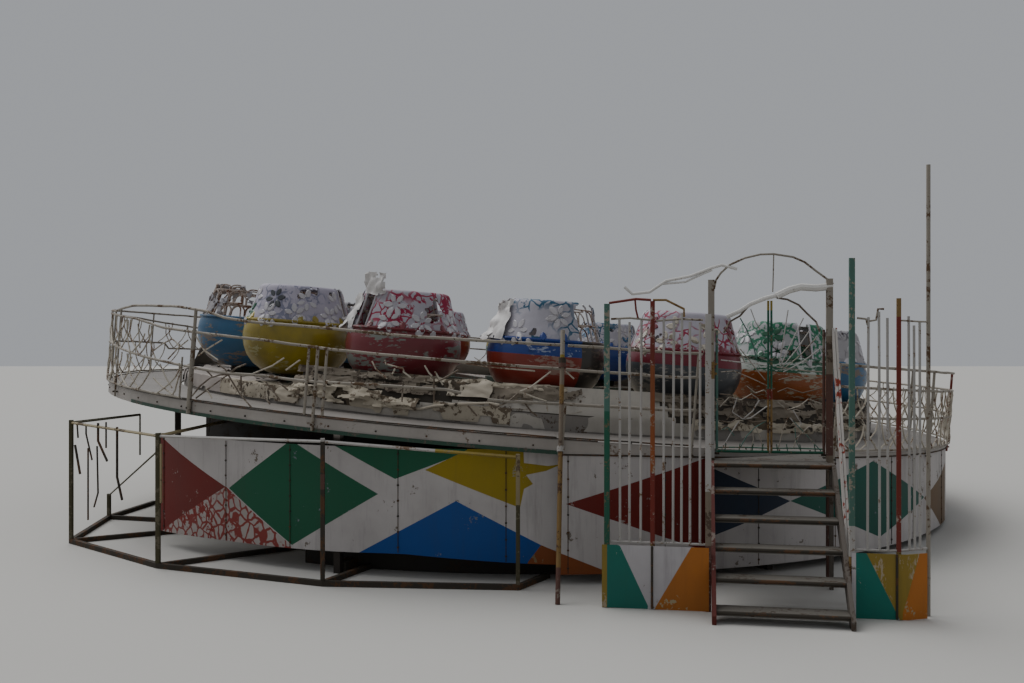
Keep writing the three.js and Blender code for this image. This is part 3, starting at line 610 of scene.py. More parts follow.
# %% [markdown]
# The enamel on the skirt has dulled a good deal: the white has gone lilac-grey, and in one triangle the
# red has let go in strips down to the white below. Each colour is its own worn enamel over grey primer,
# with rain streaks. The letting-go red is a white one over which the red is left in strokes.
# %% Skirt colours
skirt_colours = {
    "white": weathered("skirt_white", "#b3aeac", "#6d655c", chips=0.12, chip_size=0.05, streaks=0.5),
    "red": weathered("skirt_red", "#69160f", "#8d7f7a", chips=0.08, chip_size=0.04, streaks=0.3),
    "peeling": veined("skirt_red_letting_go", "#a39b96", "#7c332e", 0.36, 9.5, 0.095, 0.36, 0.05),
    "green": weathered("skirt_green", "#0d5238", "#6d757b", chips=0.08, chip_size=0.04, streaks=0.25,
                       clouds=0.12),
    "yellow": weathered("skirt_yellow", "#8f7b0e", "#8a8674", chips=0.10, chip_size=0.04, streaks=0.3),
    "blue": weathered("skirt_blue", "#0a4284", "#6a6d75", chips=0.08, chip_size=0.04, streaks=0.2,
                      clouds=0.12),
    "orange": weathered("skirt_orange", "#7c4018", "#7a6a50", chips=0.24, chip_size=0.05, streaks=0.3),
    "navy": weathered("skirt_navy", "#14263c", "#6b6f75", chips=0.10, chip_size=0.04, streaks=0.2),
    "teal": weathered("skirt_teal", "#0c5044", "#6d757b", chips=0.08, chip_size=0.04, streaks=0.25),
    "tan": weathered("skirt_tan", "#634a2c", "#8d857b", chips=0.10, chip_size=0.05, streaks=0.3),
}
skirt_order = list(skirt_colours)
SKIRT_LOW_RADIUS = 5.572
SKIRT_HIGH_RADIUS = 5.7073
skirt_squash = math.cos(tilt)

# corners of the painted shapes on the near side, in pixels of the picture
FRONT_LEFT_SHAPES = [
    ("red", [(150, 431), (162, 437), (226, 487), (160, 533), (150, 537)]),
    ("peeling", [(226, 486.5), (291, 545), (291, 560), (150, 560), (150, 537), (160, 532.5)]),
    ("green", [(229, 488), (291, 440), (378, 494), (292, 545)]),
    ("green", [(325, 440), (480, 445), (472, 450), (395, 479)]),
    ("yellow", [(425, 470), (467, 450), (467, 438), (523, 438), (524, 463), (548, 466), (562, 464),
                (546, 471), (526, 475), (533, 484), (524, 489), (520, 508)]),
    ("blue", [(456, 501), (541, 545), (560, 553), (548, 580), (345, 560)]),
    ("orange", [(541, 545), (575, 559), (575, 585), (524, 580), (528, 562)]),
]
ENTRANCE_SHAPES = [
    ("orange", [(545, 547), (606, 571), (606, 595), (545, 595)]),
    ("red", [(566, 504), (706, 458), (706, 551)]),
    ("navy", [(708, 466), (745, 482), (791, 501), (748, 522), (708, 538)]),
    ("teal", [(791, 501), (874, 461), (925, 497), (881, 537)]),
    ("tan", [(925, 498), (946, 462), (946, 540)]),
]


def shapes_on(radius, listed):
    return [([seen_on_round(px, py, radius) for px, py in pixels], skirt_order.index(name))
            for name, pixels in listed]


print("skirt colours:", len(skirt_order))

# %% [markdown]
# The four skirt pieces follow the frame's own: two hang low, set back below the walkway's edge band,
# and two stand right under the band and reach up to it. The seen shapes are placed by where they are
# in the picture; round the back the same diamonds go on in the same colours.
# %% The skirt's sheets
BAND_DEEP, BAND_LEAST, BAND_TAPER = 0.140, 0.030, 20.0  # metres, metres, degrees
SKIRT_START = 2.5
ENTRANCE_END = SKIRT_START + 45
HIGH_END = SKIRT_START + 135
DECK_RADIUS = 5.72
COLUMN = 2.5  # degrees
SKIRT_SHEET = 0.010
BACK_COLOURS = ("red", "green", "blue", "yellow", "navy", "green", "red", "tan")
DIAMOND_WIDTH = 15.0  # degrees
BOLTS_IN_ROW, BOLT_RADIUS, SEAM_RADIUS = 7, 0.011, 0.0035


def deck_over(x):
    return deck_centre.z - x * math.tan(tilt)


def band_depth(angle):
    inward = max(min(angle - SKIRT_START, HIGH_END - angle), 0)
    return BAND_LEAST + (BAND_DEEP - BAND_LEAST) * math.exp(-inward / BAND_TAPER)


LOW_EDGE = [(-47.6, 0.16), (-36, 0.20), (-21, 0.215), (-13, 0.235), (-1, 0.17), (2.6, 0.16)]


def low_foot(angle):
    return looked_up(LOW_EDGE, angle, 0.17)


def low_top(angle):
    return min(1.24, deck_over(polar(angle, DECK_RADIUS).x) - 0.15)


def high_top(angle):
    x = polar(angle, DECK_RADIUS).x * skirt_squash
    return deck_over(x) - band_depth(angle) / skirt_squash - 0.001


def smooth_step(value, start, end):
    t = min(max((value - start) / (end - start), 0), 1)
    return t * t * (3 - 2 * t)


def back_shapes(first, last, low, high):
    """Diamonds that go on round the parts of the skirt that the picture doesn't show."""
    shapes = []
    half = DIAMOND_WIDTH / 2
    centre = (low + high) / 2
    for i in range(int((last - first) / DIAMOND_WIDTH)):
        middle = first + DIAMOND_WIDTH * (i + 0.5)
        outline = [(middle - half, centre), (middle, low + 0.02), (middle + half, centre),
                   (middle, high - 0.02)]
        shapes.append((outline, skirt_order.index(BACK_COLOURS[i % len(BACK_COLOURS)])))
    return shapes


def buckle(point, amount):
    """Sheet steel is never flat: it waves in and out by a few millimetres."""
    outward = Vector((point.x, point.y, 0)).normalized()
    return point + outward * amount * noise.noise(point * 1.7)


def bolt_rows(bm, angles, radius, low, high, squash, material):
    """Bolts down a seam between two sheets, and the seam's own dark line."""
    for angle in angles:
        ends = [polar(angle, radius + 0.002, z) for z in (low(angle) + 0.01, high(angle) - 0.01)]
        for end in ends:
            end.x *= squash
        rod(bm, *ends, SEAM_RADIUS, 4, material)
        out = polar(angle, 1.0)
        for k in range(BOLTS_IN_ROW):
            z = low(angle) + 0.06 + (high(angle) - low(angle) - 0.12) * k / (BOLTS_IN_ROW - 1)
            spot = polar(angle, radius, z)
            spot.x *= squash
            rod(bm, spot - out * 0.003, spot + out * 0.008, BOLT_RADIUS, 6, material)


def skirt_piece(node, start, end, radius, squash, low, high, shapes, seams):
    count = round((end - start) / COLUMN)
    columns = [start + (end - start) * i / count for i in range(count + 1)]

    def wrap(angle, z):
        point = polar(angle, radius, z)
        point.x *= squash
        return buckle(point, 0.004)

    bm = painted_sheet((start, end), low, high, columns, shapes, wrap)
    turn_outward(bm)
    bmesh.ops.solidify(bm, geom=bm.faces[:], thickness=SKIRT_SHEET)
    bolt_rows(bm, seams, radius, low, high, squash, len(skirt_order))
    finish_piece(node + "_sheet", bm, "base", [*skirt_colours.values(), bare_steel],
                 [node], outward=False)


skirt_piece("skirt_front_left", SKIRT_START - 50, SKIRT_START - 0.01, SKIRT_LOW_RADIUS, 1.0,
            low_foot, low_top, shapes_on(SKIRT_LOW_RADIUS, FRONT_LEFT_SHAPES),
            [seen_on_round(px, 490, SKIRT_LOW_RADIUS)[0] for px in (164, 226, 290, 322, 398, 506)])
skirt_piece("skirt_entrance", SKIRT_START, ENTRANCE_END - 0.01, SKIRT_HIGH_RADIUS, skirt_squash,
            lambda a: 0.095 - 0.015 * smooth_step(a, SKIRT_START, ENTRANCE_END), high_top,
            shapes_on(SKIRT_HIGH_RADIUS, ENTRANCE_SHAPES[:4]), [3.2, 12.5, 22.5, 32.5, 42.5])
skirt_piece("skirt_right", ENTRANCE_END, HIGH_END - 0.01, SKIRT_HIGH_RADIUS, skirt_squash,
            lambda a: 0.080 - 0.068 * smooth_step(a, ENTRANCE_END, ENTRANCE_END + 45), high_top,
            shapes_on(SKIRT_HIGH_RADIUS, ENTRANCE_SHAPES[3:]) + back_shapes(77, 137, 0.05, 0.9),
            [47.8, 60, 72, 84, 96, 108, 120, 132])
skirt_piece("skirt_back", HIGH_END, HIGH_END + 90, SKIRT_LOW_RADIUS, 1.0,
            lambda a: 0.17, low_top, back_shapes(HIGH_END, HIGH_END + 90, 0.17, 1.2),
            [HIGH_END + 10 * i + 2 for i in range(9)])

# %% [markdown]
# Each railing is welded pipe: four rails, uprights that stand against the outside of the edge band, and
# thin rods that cross between the lower rails in two rows. The rails have been bent, so their heights
# come from a table of angles. On the left and the right the rods still stand, each with its own small
# bend and a chance of ending halfway. In front most have gone, and those that are left are laid one by
# one where the picture shows them, on the round wall that the railing stands in.
# %% Railings
RAIL_RADIUS = 5.743
RAIL_LEVELS = [0.022, 0.355, 0.665, 0.885]
RAIL_PIPE, LOW_PIPE, WORN_PIPE = 0.014, 0.012, 0.007
ROD = 0.0085
POST_FOOT = -0.128
LUG_LEVEL, LUG_RADIUS = -0.07, 0.010
RAIL_BENDS = [  # for the three upper rails: angle in degrees, height in metres
    [(-100, 0.440), (-65, 0.490), (-49, 0.400), (-34, 0.335), (-28, 0.350), (-22, 0.338), (-16, 0.366),
     (-8, 0.378), (-4, 0.310), (1.8, 0.330), (15, 0.345)],
    [(-110, 0.700), (-90, 0.800), (-70, 0.850), (-52, 0.811), (-43.6, 0.733), (-38, 0.717), (-27.9, 0.699),
     (-19.5, 0.661), (-7, 0.649), (15, 0.650)],
    [(-75, 0.885), (-62, 0.875), (-53, 0.955), (-42, 0.975), (-36, 0.940), (-34.2, 0.895), (-31, 0.870),
     (-19.5, 0.861), (-14, 0.846), (-7, 0.852), (2.3, 0.870), (6.2, 0.875), (15, 0.880)],
]
RAIL_PALE, RAIL_CREAM, RAIL_STEEL, RAIL_RED, RAIL_BROWN = range(5)


def rail_height(level, angle):
    """Height of a rail above the deck, with the bends that the years have given it."""
    a = angle if angle < 180 else angle - 360
    return looked_up(RAIL_BENDS[level - 1] if level else [], a, RAIL_LEVELS[level])


def rail_points(level, start, end, wobble):
    count = max(3, round((end - start) / 1.5))
    points = []
    for i in range(count + 1):
        angle = start + (end - start) * i / count
        height = rail_height(level, angle) + 0.006 * noise.noise(Vector((angle * 0.3, level * 7, wobble)))
        radius = RAIL_RADIUS + 0.008 * noise.noise(Vector((angle * 0.25, level * 5 + 3, wobble)))
        points.append(on_deck(angle, radius, height))
    return points


def crossing_rod(bm, angle, lean, low, high, reach, seed):
    """A thin rod that bows like the edge of a leaf. reach is the share of it that is left."""
    points = []
    for i in range(6):
        t = i / 5 * reach
        bow = math.sin(math.pi * t) * 0.30 * lean
        a = angle + lean * t + bow + 0.30 * noise.noise(Vector((angle, t * 2, seed)))
        out = RAIL_RADIUS + 0.018 * noise.noise(Vector((angle * 2, t * 3, seed + 9)))
        points.append(on_deck(a, out, low + (high - low) * t))
    pipe(bm, points, ROD, 5, RAIL_CREAM)


def crossing_rods(bm, start, end, spacing, broken, slant, rng):
    """Two rows of crossed rods. broken is the share of them that end halfway."""
    for low, high in ((0, 1), (1, 2)):
        angle = start + 0.8
        while angle < end - 1.5:
            for way in (-1, 1):
                if rng.random() < 0.14:
                    continue
                reach = rng.uniform(0.4, 0.9) if rng.random() < broken else 1.0
                a = min(max(angle + rng.uniform(-0.4, 0.4), start + 0.4), end - 0.4)
                lean = min(max(a + way * slant * rng.uniform(1.2, 3.2), start + 0.3), end - 0.3) - a
                crossing_rod(bm, a, lean, rail_height(low, a), rail_height(high, a), reach,
                             rng.uniform(0, 50))
            angle += rng.uniform(0.7, 1.3) * spacing


def railing_piece(node, start, end, posts, rods, seed, single=(), gaps=(), low_rail=RAIL_PALE):
    """Posts are angle, radius, foot, top, colour; rods are spacing, share broken, slant; gaps are
    level, start, end."""
    rng = random.Random(seed)
    bm = bmesh.new()
    for level in range(4):
        ends = [start + 0.2, end - 0.2]
        for _, first, last in (gap for gap in gaps if gap[0] == level):
            ends[1:1] = [first, last]
        lowest = LOW_PIPE if low_rail == RAIL_PALE else WORN_PIPE
        for first, last in zip(ends[::2], ends[1::2]):
            pipe(bm, rail_points(level, first, last, seed), RAIL_PIPE if level else lowest, 8,
                 RAIL_PALE if level else low_rail)
    for angle, radius, foot, top, material in posts:
        top = rail_height(3, angle) + 0.012 if top is None else top
        pipe(bm, [on_deck(angle, RAIL_RADIUS, z) for z in (foot, (foot + top) / 2, top)], radius, 10,
             material)
        if foot == POST_FOOT:
            rod(bm, *[on_deck(angle, RAIL_RADIUS + out, LUG_LEVEL) for out in (-0.03, 0.032)], LUG_RADIUS,
                6, RAIL_STEEL)
    if rods:
        crossing_rods(bm, start, end, *rods, rng)
    traced(bm, lambda px, py: seen_on_ring(px, py, RAIL_RADIUS), single)
    finish_piece(node + "_pipes", bm, "base", [pale_pipe, cream_rod, bare_steel, red_enamel, brown_pipe],
                 [node])


def even(start, end, bays, radius, red=None):
    """Evenly spaced posts, with one at each end."""
    angles = [start + 0.35] + [start + (end - start) * i / bays for i in range(1, bays)] + [end - 0.35]
    return [(angle, radius, POST_FOOT, None, RAIL_RED if i == red else RAIL_PALE)
            for i, angle in enumerate(angles)]


LEFT_RODS = [(0.008, RAIL_CREAM, pixels) for pixels in (
    [(188, 340), (178, 348), (168, 359)], [(172, 339), (162, 344), (153, 351)],
    [(171, 338), (176, 342), (179, 346)], [(126, 320), (122, 330), (120, 340)],
    [(138, 324), (139, 336), (140, 348)], [(129, 358), (137, 370)], [(132, 357), (125, 370)],
    [(160, 364), (166, 378), (172, 388)],
)]
FRONT_RODS = [(ROD, RAIL_BROWN, pixels) for pixels in (
    [(192, 396), (200, 386), (210, 378), (220, 375), (234, 374)],
    [(196, 398), (212, 386), (226, 376), (236, 368), (246, 364)], [(206, 370), (212, 376)],
    [(218, 364), (226, 370), (230, 378), (240, 394), (252, 408)], [(241, 376), (241, 390)],
    [(266, 382), (280, 400)], [(278, 382), (288, 390)], [(264, 396), (270, 404)],
    [(458.5, 370), (443, 379), (437, 382)], [(426, 377.7), (426, 382)], [(434, 377.7), (434, 401)],
    [(403, 385), (402, 402)], [(518.5, 393), (507.7, 402), (497, 407), (489, 404)],
    [(523, 401), (531, 411.5), (537, 416)], [(467.7, 405.4), (477, 416)],
)] + [(0.008, RAIL_CREAM, pixels) for pixels in (
    [(252, 374), (272, 366), (284, 358)], [(286, 370), (300, 360)], [(206, 388), (212, 398)],
    [(196, 336), (204, 350), (218, 360)], [(222, 340), (204, 351), (198, 356)],
    [(372, 361), (376, 369), (387, 378.5)], [(384.6, 360), (386, 364), (403, 368.5), (404, 371.5)],
    [(395, 368.5), (392, 374.6)], [(403, 371.5), (411, 377.7)], [(424.6, 365.4), (429, 373), (432, 376)],
    [(435, 371.5), (443, 385)], [(551, 371.5), (531, 387), (520, 391.5)],
    [(520, 391.5), (535, 397.7), (546, 401), (547.7, 411.5)],
    [(458.5, 362), (489, 367), (535, 371)],
)]
NEAR_RODS = [(0.008, RAIL_CREAM, [(566, 371.5), (574, 379)])]
MAIN_POST, TRIO = -38.3, (-22.6, -21.6, -20.6)  # degrees
UNDER_TRIO = rail_height(2, TRIO[1]) + 0.012

railing_piece("railing_near", 2.3, 15.4, [(2.65, 0.014, POST_FOOT, 0.34, RAIL_PALE),
                                          (15.05, 0.012, POST_FOOT, None, RAIL_PALE)], None, 11, NEAR_RODS,
              low_rail=RAIL_STEEL)
railing_piece("railing_right", 31.5, 92.5, even(31.5, 92.5, 3, 0.016, red=2), (2.0, 0.35, 1.0), 12)
railing_piece("railing_far_right", 92.5, 160, even(92.5, 160, 3, 0.014), (3.0, 0.4, 1.5), 13)
railing_piece("railing_far_left", 160, 227.5, even(160, 227.5, 3, 0.014), (3.0, 0.4, 1.5), 14)
railing_piece("railing_left", 227.5, 320.2, even(227.5, 320.2, 5, 0.012)[:-1] + [
    (319.9, 0.010, 0.02, 0.45, RAIL_PALE)], (3.9, 0.35, 1.8), 15, LEFT_RODS)
railing_piece("railing_front_left", -39.8, 2.3, [
    (MAIN_POST, 0.026, POST_FOOT, 0.74, RAIL_PALE), (MAIN_POST, 0.018, 0.74, None, RAIL_PALE),
    (TRIO[0], 0.014, 0.02, UNDER_TRIO, RAIL_PALE), (TRIO[1], 0.016, POST_FOOT, UNDER_TRIO, RAIL_PALE),
    (TRIO[2], 0.014, 0.02, UNDER_TRIO, RAIL_PALE)], None, 16, FRONT_RODS, [(1, -7.0, -4.5)], RAIL_STEEL)

# %% [markdown]
# Where the walkway meets its band there is a thin raised seam with small bolts, which in front and on
# the right has gone down to the band's lower edge. On the near left that edge carries a green painted
# angle. All are slim, yet they draw the deck's ellipse in the picture.
# %% Deck edge
SEAM_PIPE, WELD_PIPE = 0.007, 0.008
FLANGE_START, FLANGE_HIGH = -52, 0.036


def edge_piece():
    bm = bmesh.new()
    left = range(round(HIGH_END) - 360, 7, 3)
    pipe(bm, [on_deck(angle, DECK_RADIUS - 0.012, 0.004) for angle in left], SEAM_PIPE, 6, 0)
    right = [SKIRT_START + (HIGH_END - SKIRT_START) * i / 45 for i in range(46)]
    pipe(bm, [on_deck(angle, DECK_RADIUS + 0.001, -band_depth(angle)) for angle in right], WELD_PIPE, 6, 0)
    for angle in range(0, 360, 4):
        rod(bm, *[on_deck(angle + 1.3, DECK_RADIUS - 0.05, z) for z in (0.0, 0.012)], 0.008, 6, 0)
    for angle in range(230, 361, 5):
        rod(bm, *[on_deck(angle, DECK_RADIUS + out, -0.07) for out in (-0.01, 0.006)], 0.009, 6, 0)
    flange = ring_beam(bm, FLANGE_START, SKIRT_START - 0.2, DECK_RADIUS + 0.0005, DECK_RADIUS + 0.0055,
                       -BAND_DEEP, -BAND_DEEP + FLANGE_HIGH)
    give(faces_of(flange), 1)
    bmesh.ops.transform(bm, matrix=deck, verts=flange)
    finish_piece("deck_edge_seam", bm, "base", [bare_steel, dull_green])


edge_piece()

# %% [markdown]
# The turntable's floor is thin painted sheet over a dark underlay, rosy grey on the left and cream on
# the right, and round its rim stands an apron of the same sheet. On the near side both have torn and
# curled, and on the left the apron has gone. The floor is a fine flat ring whose faces are dropped where
# a slow noise says so. The apron's torn part is a pile of narrow strips made the same way, over a wall
# that is grey at its foot and dark where the strips hang. The dark underlay seen through the tears and
# the dark wall behind the strips are also painted shade, and the wall's grey foot is painted lighter
# than the walkway, as painted light. A plain band closes the pan's rim below it.
# %% Turntable floor
PAN_RADIUS = 4.79
PAN_TOP = 0.170
FLOOR_INNER, FLOOR_RINGS, FLOOR_STEPS = 0.66, 64, 288
TIN = 0.003
APRON_START, APRON_END = -32.0, 276.0  # degrees
APRON_LOW, APRON_HIGH, APRON_LEAN, APRON_ROWS = 0.015, 0.450, 0.107, 16
TORN_EDGE = [(-33, 0.10), (-19, 0.10), (-9, 0.20), (-5, 0.24), (0, 0.45), (15, 0.45), (18, 0.15),
             (45, 0.11), (64, 0.12), (70, 0.45)]  # degrees, metres
PLAIN_RIM = (-3, 100)  # degrees, where the floor's edge is not turned down
ROSY_END = -46.0  # degrees, up to where the floor is rosy grey
FLOOR_CREAM, FLOOR_ROSY = range(2)


def torn(angle, radius):
    """How far the sheet has gone at a place, from whole (below 0) to gone (above 0)."""
    place = polar(angle, radius)
    patch = noise.fractal(place * 2.1, 0.7, 2.2, 4)
    worst = smooth_step(angle, -42, -30) * (1 - smooth_step(angle, 20, 40))
    wear = smooth_step(radius, 3.3, 4.7) * (0.15 + 0.40 * worst)
    return patch + wear - 0.62


def floor_sheets():
    bm = bmesh.new()
    ring = (PAN_RADIUS + 0.012 - FLOOR_INNER) / FLOOR_RINGS
    profile = [(FLOOR_INNER + ring * i, PAN_TOP + 0.006) for i in range(FLOOR_RINGS + 1)]
    profile.append((PAN_RADIUS + 0.016, PAN_TOP - 0.03))
    profile += [(PAN_RADIUS + 0.018, PAN_TOP - down) for down in (0.07, 0.11, 0.15)]
    spun(bm, profile, FLOOR_STEPS)
    gone = []
    for face in bm.faces:
        middle = face.calc_center_median()
        drop = 0.25 * smooth_step(PAN_TOP - middle.z, 0.02, 0.15)
        plain_rim = middle.z < PAN_TOP and PLAIN_RIM[0] < bearing(middle) < PLAIN_RIM[1]
        if torn(bearing(middle), middle.xy.length) + drop > 0 or plain_rim:
            gone.append(face)
    bmesh.ops.delete(bm, geom=gone, context="FACES")
    soften(bm, [v for v in bm.verts if v.is_boundary])
    for vert in bm.verts:
        radius = vert.co.xy.length
        lift = 0.012 * (1 + noise.fractal(vert.co * 3.3, 0.8, 2.0, 3)) * smooth_step(radius, 2.0, 4.0)
        near_tear = smooth_step(torn(bearing(vert.co), radius), -0.16, 0.0)
        curl = 0.045 * near_tear * (0.5 + noise.noise(vert.co * 1.7))
        if vert.co.z > PAN_TOP:
            vert.co.z += lift + max(curl, 0)
        jitter = noise.noise_vector(vert.co * 9) * 0.016
        vert.co.x += jitter.x
        vert.co.y += jitter.y
    for face in bm.faces:
        middle = face.calc_center_median()
        rosy = bearing(middle) < ROSY_END + 4 * noise.noise(middle * 2)
        face.material_index = FLOOR_ROSY if rosy else FLOOR_CREAM
    bmesh.ops.recalc_face_normals(bm, faces=bm.faces[:])
    bmesh.ops.solidify(bm, geom=bm.faces[:], thickness=-TIN)
    bmesh.ops.transform(bm, matrix=deck, verts=bm.verts[:])
    finish_piece("turntable_sheets", bm, "turntable", [cream_sheet, rosy_sheet],
                 outward=False)


floor_sheets()


def apron_radius(height):
    """The apron stands upright beside the pan and leans in above it."""
    return PAN_RADIUS + 0.013 - APRON_LEAN * max(height - PAN_TOP, 0) / (APRON_HIGH - PAN_TOP)


STRIP_ROWS = 9


def ragged_strip(bm, start, end, low, high, proud, tear, crumple, material, seed):
    """A torn strip of sheet along the rim. tear is the share that has gone, crumple is in metres."""
    count = round((end - start) / (0.40 if start < 66 else 0.8))
    shift = Vector((seed * 7.3, seed * 3.1, seed))

    def place(i, j):
        angle = start + (end - start) * i / count
        wave = noise.fractal(Vector((angle * 0.21, seed, 0)), 0.8, 2.0, 4)
        t = j / STRIP_ROWS
        height = low + (high - low) * (t + 0.22 * wave * (0.4 + t))
        spot = Vector((angle * 0.35, height * 9, 0)) + shift
        out = proud + crumple * noise.fractal(spot, 0.7, 2.1, 3)
        return polar(angle + 0.25 * noise.noise(spot * 2.3), apron_radius(height) + max(out, 0.004), height)

    def gone(_, j, corner):
        t = (j + 0.5) / STRIP_ROWS
        spot = Vector((corner.x * 5.0, corner.y * 5.0, t * 1.8)) + shift
        return noise.fractal(spot, 0.8, 2.2, 3) + 0.55 * abs(2 * t - 1) ** 2 > 1.05 - 1.2 * tear

    made = patchwork(bm, count, STRIP_ROWS, place, gone, material)
    soften(bm, [v for v in {v for f in made for v in f.verts} if v.is_boundary])


SHEET_CREAM, SHEET_BROWN, SHEET_GREY_PAINTED_LIT, SHEET_PAINTED_SHADE, SHEET_CRACKED = range(5)
STRIPS = [  # start, end, low, high, proud, tear, crumple, colour
    (-33, -12, 0.37, 0.45, 0.008, 0.42, 0.045, SHEET_BROWN),
    (-33, -12, 0.25, 0.38, 0.020, 0.45, 0.050, SHEET_BROWN),
    (-33, -19, 0.16, 0.30, 0.026, 0.50, 0.050, SHEET_CREAM),
    (-33, -14, 0.09, 0.22, 0.034, 0.42, 0.055, SHEET_CREAM),
    (-14, 4, 0.39, 0.45, 0.010, 0.40, 0.040, SHEET_CREAM),
    (-10.8, -5.2, 0.27, 0.44, 0.030, 0.06, 0.040, SHEET_CRACKED),
    (-6.2, 0.0, 0.25, 0.43, 0.022, 0.25, 0.050, SHEET_BROWN),
    (-1.5, 6, 0.30, 0.45, 0.012, 0.50, 0.050, SHEET_BROWN),
    (-46, -31.5, 0.030, 0.185, 0.006, 0.05, 0.018, SHEET_CRACKED),
    (15, 64, 0.36, 0.45, 0.008, 0.50, 0.045, SHEET_BROWN),
    (17, 66, 0.22, 0.36, 0.016, 0.62, 0.055, SHEET_BROWN),
    (20, 60, 0.09, 0.22, 0.024, 0.56, 0.055, SHEET_CREAM),
    (70, 276, 0.33, 0.45, 0.010, 0.60, 0.040, SHEET_BROWN),
    (90, 240, 0.10, 0.30, 0.012, 0.68, 0.040, SHEET_CREAM),
]
CURL = [(380, 405), (400, 407.5), (420, 409), (434, 406), (458, 404), (489, 403), (499, 405)]


def rim_wall():
    """A plain band round the pan, which reaches down to the walkway's sheet."""
    bm = bmesh.new()
    for first in (0, 120, 240):
        band = ring_beam(bm, first, first + 120, PAN_RADIUS + 0.002, PAN_RADIUS + 0.006, -0.020,
                         PAN_TOP + 0.004)
        bmesh.ops.transform(bm, matrix=deck, verts=band)
    finish_piece("pan_rim_band", bm, "turntable", [pan_sheet])


def apron():
    bm = bmesh.new()
    heights = [APRON_LOW + (APRON_HIGH - APRON_LOW) * i / APRON_ROWS for i in range(APRON_ROWS + 1)]
    spun(bm, [(apron_radius(z), z) for z in heights], round(APRON_END - APRON_START), APRON_START,
         APRON_END - APRON_START)
    for vert in bm.verts:
        out = Vector((vert.co.x, vert.co.y, 0)).normalized()
        vert.co -= out * (0.006 + 0.012 * noise.fractal(vert.co * 1.3, 0.8, 2.0, 3))
        vert.co.z += 0.012 * noise.noise(vert.co * 1.1)
    for face in bm.faces:
        middle = face.calc_center_median()
        edge = looked_up(TORN_EDGE, bearing(middle), APRON_HIGH) + 0.05 * noise.noise(middle * 3.0)
        # painted shade: the apron's wall is dark above its torn edge, behind the hanging strips
        dark = bearing(middle) > APRON_START and middle.z > edge
        face.material_index = SHEET_PAINTED_SHADE if dark else SHEET_GREY_PAINTED_LIT
    turn_outward(bm)
    for seed, strip in enumerate(STRIPS, 1):
        ragged_strip(bm, *strip, seed)
    bmesh.ops.solidify(bm, geom=bm.faces[:], thickness=TIN)
    bmesh.ops.transform(bm, matrix=deck, verts=bm.verts[:])
    traced(bm, lambda px, py: seen_on_ring(px, py, PAN_RADIUS + 0.03), [(0.013, SHEET_CRACKED, CURL)], 6)
    finish_piece("apron_sheets", bm, "turntable",
                 [cream_sheet, brown_sheet, apron_grey_painted_lit, underlay_and_painted_shade, cracked_sheet],
                 ["turntable_apron"], outward=False)


apron()
rim_wall()
finish_node("turntable_pan", pan_sheet)
finish_node("sweep_frame", weathered("sweep_paint", "#2c3a31", "#3b2c22", chips=0.5, chip_size=0.06,
                                     roughness=0.8, metallic=0.2))
finish_node("centre_base", bare_steel)

# %% [markdown]
# A tub is a glass-fibre bowl under a crown in two lobes. Both are solids of revolution, so a profile is
# spun round the tub's own axis: the bowl as one closed shell with its rolled rim and bench, the crown
# as a skin that is cut in two by planes, dented, and then thickened. Petals stand proud of the skin,
# each a flat cone pressed into an almond and laid on the slope.
# %% Tub shapes
TUB_STEPS = 56
BOWL_OUTSIDE = [(0.0, 0.002), (0.30, 0.002), (0.41, 0.040), (0.50, 0.105), (0.575, 0.200), (0.617, 0.300),
                (0.634, 0.390), (0.636, 0.460), (0.626, 0.535), (0.606, 0.596)]
BOWL_RIM = [(0.620, 0.603), (0.628, 0.617), (0.622, 0.632), (0.604, 0.636), (0.590, 0.626)]
BOWL_INSIDE = [(0.578, 0.590), (0.598, 0.450), (0.586, 0.352), (0.570, 0.342), (0.320, 0.340),
               (0.300, 0.325), (0.288, 0.095), (0.0, 0.092)]
CROWN = [(0.603, 0.612), (0.596, 0.636), (0.588, 0.660), (0.579, 0.685), (0.570, 0.710), (0.561, 0.735),
         (0.553, 0.760), (0.545, 0.785), (0.537, 0.810), (0.528, 0.835), (0.520, 0.860), (0.512, 0.885),
         (0.503, 0.910), (0.495, 0.935), (0.488, 0.960), (0.481, 0.985), (0.472, 1.008), (0.457, 1.026),
         (0.437, 1.037), (0.417, 1.037), (0.404, 1.026)]
CROWN_GAP = 0.15
PETAL_LONG, PETAL_WIDE, PETAL_REACH = 0.125, 0.074, 0.078
CROWN_SLOPE = CROWN[:19]  # below the rolled top
SHOULDER = 0.596
STRIPPED = (35, 150)  # degrees, the part of the first tub that has lost its skin


def reach_at(profile, z):
    """The radius of a rising profile at a height."""
    for (r0, z0), (r1, z1) in zip(profile, profile[1:]):
        if z0 <= z <= z1:
            return r0 + (r1 - r0) * (z - z0) / (z1 - z0)
    return profile[0][0] if z < profile[0][1] else profile[-1][0]


def crown_radius(z):
    return reach_at(CROWN_SLOPE, z)


def surface_radius(z):
    """The tub's outside at a height, with the rolled rim between bowl and crown."""
    plain = reach_at(BOWL_OUTSIDE, z) if z < SHOULDER else crown_radius(z)
    return plain + 0.024 * math.exp(-((z - 0.618) / 0.022) ** 2)


def petal(bm, angle, z, width, height, turn, material):
    """An almond-shaped petal, laid on the tub's slope."""
    made = bmesh.ops.create_cone(bm, cap_ends=True, segments=8, radius1=1.0, radius2=0.72,
                                 depth=1.0)["verts"]
    for vert in made:
        x, y, out = vert.co
        across = x * width / 2 * (1 - 0.45 * abs(y) ** 2.5)
        up = y * height / 2
        across, up = (across * math.cos(turn) - up * math.sin(turn),
                      across * math.sin(turn) + up * math.cos(turn))
        level = min(max(z + up * 0.95, 0.50), 1.0)
        radius = surface_radius(level) + 0.003 + out * 0.014
        a = angle + across / radius
        vert.co = (radius * math.cos(a), radius * math.sin(a), level)
    give(faces_of(made), material)


print("tub shapes:", len(BOWL_OUTSIDE) + len(BOWL_RIM) + len(BOWL_INSIDE), "points on the bowl's profile")

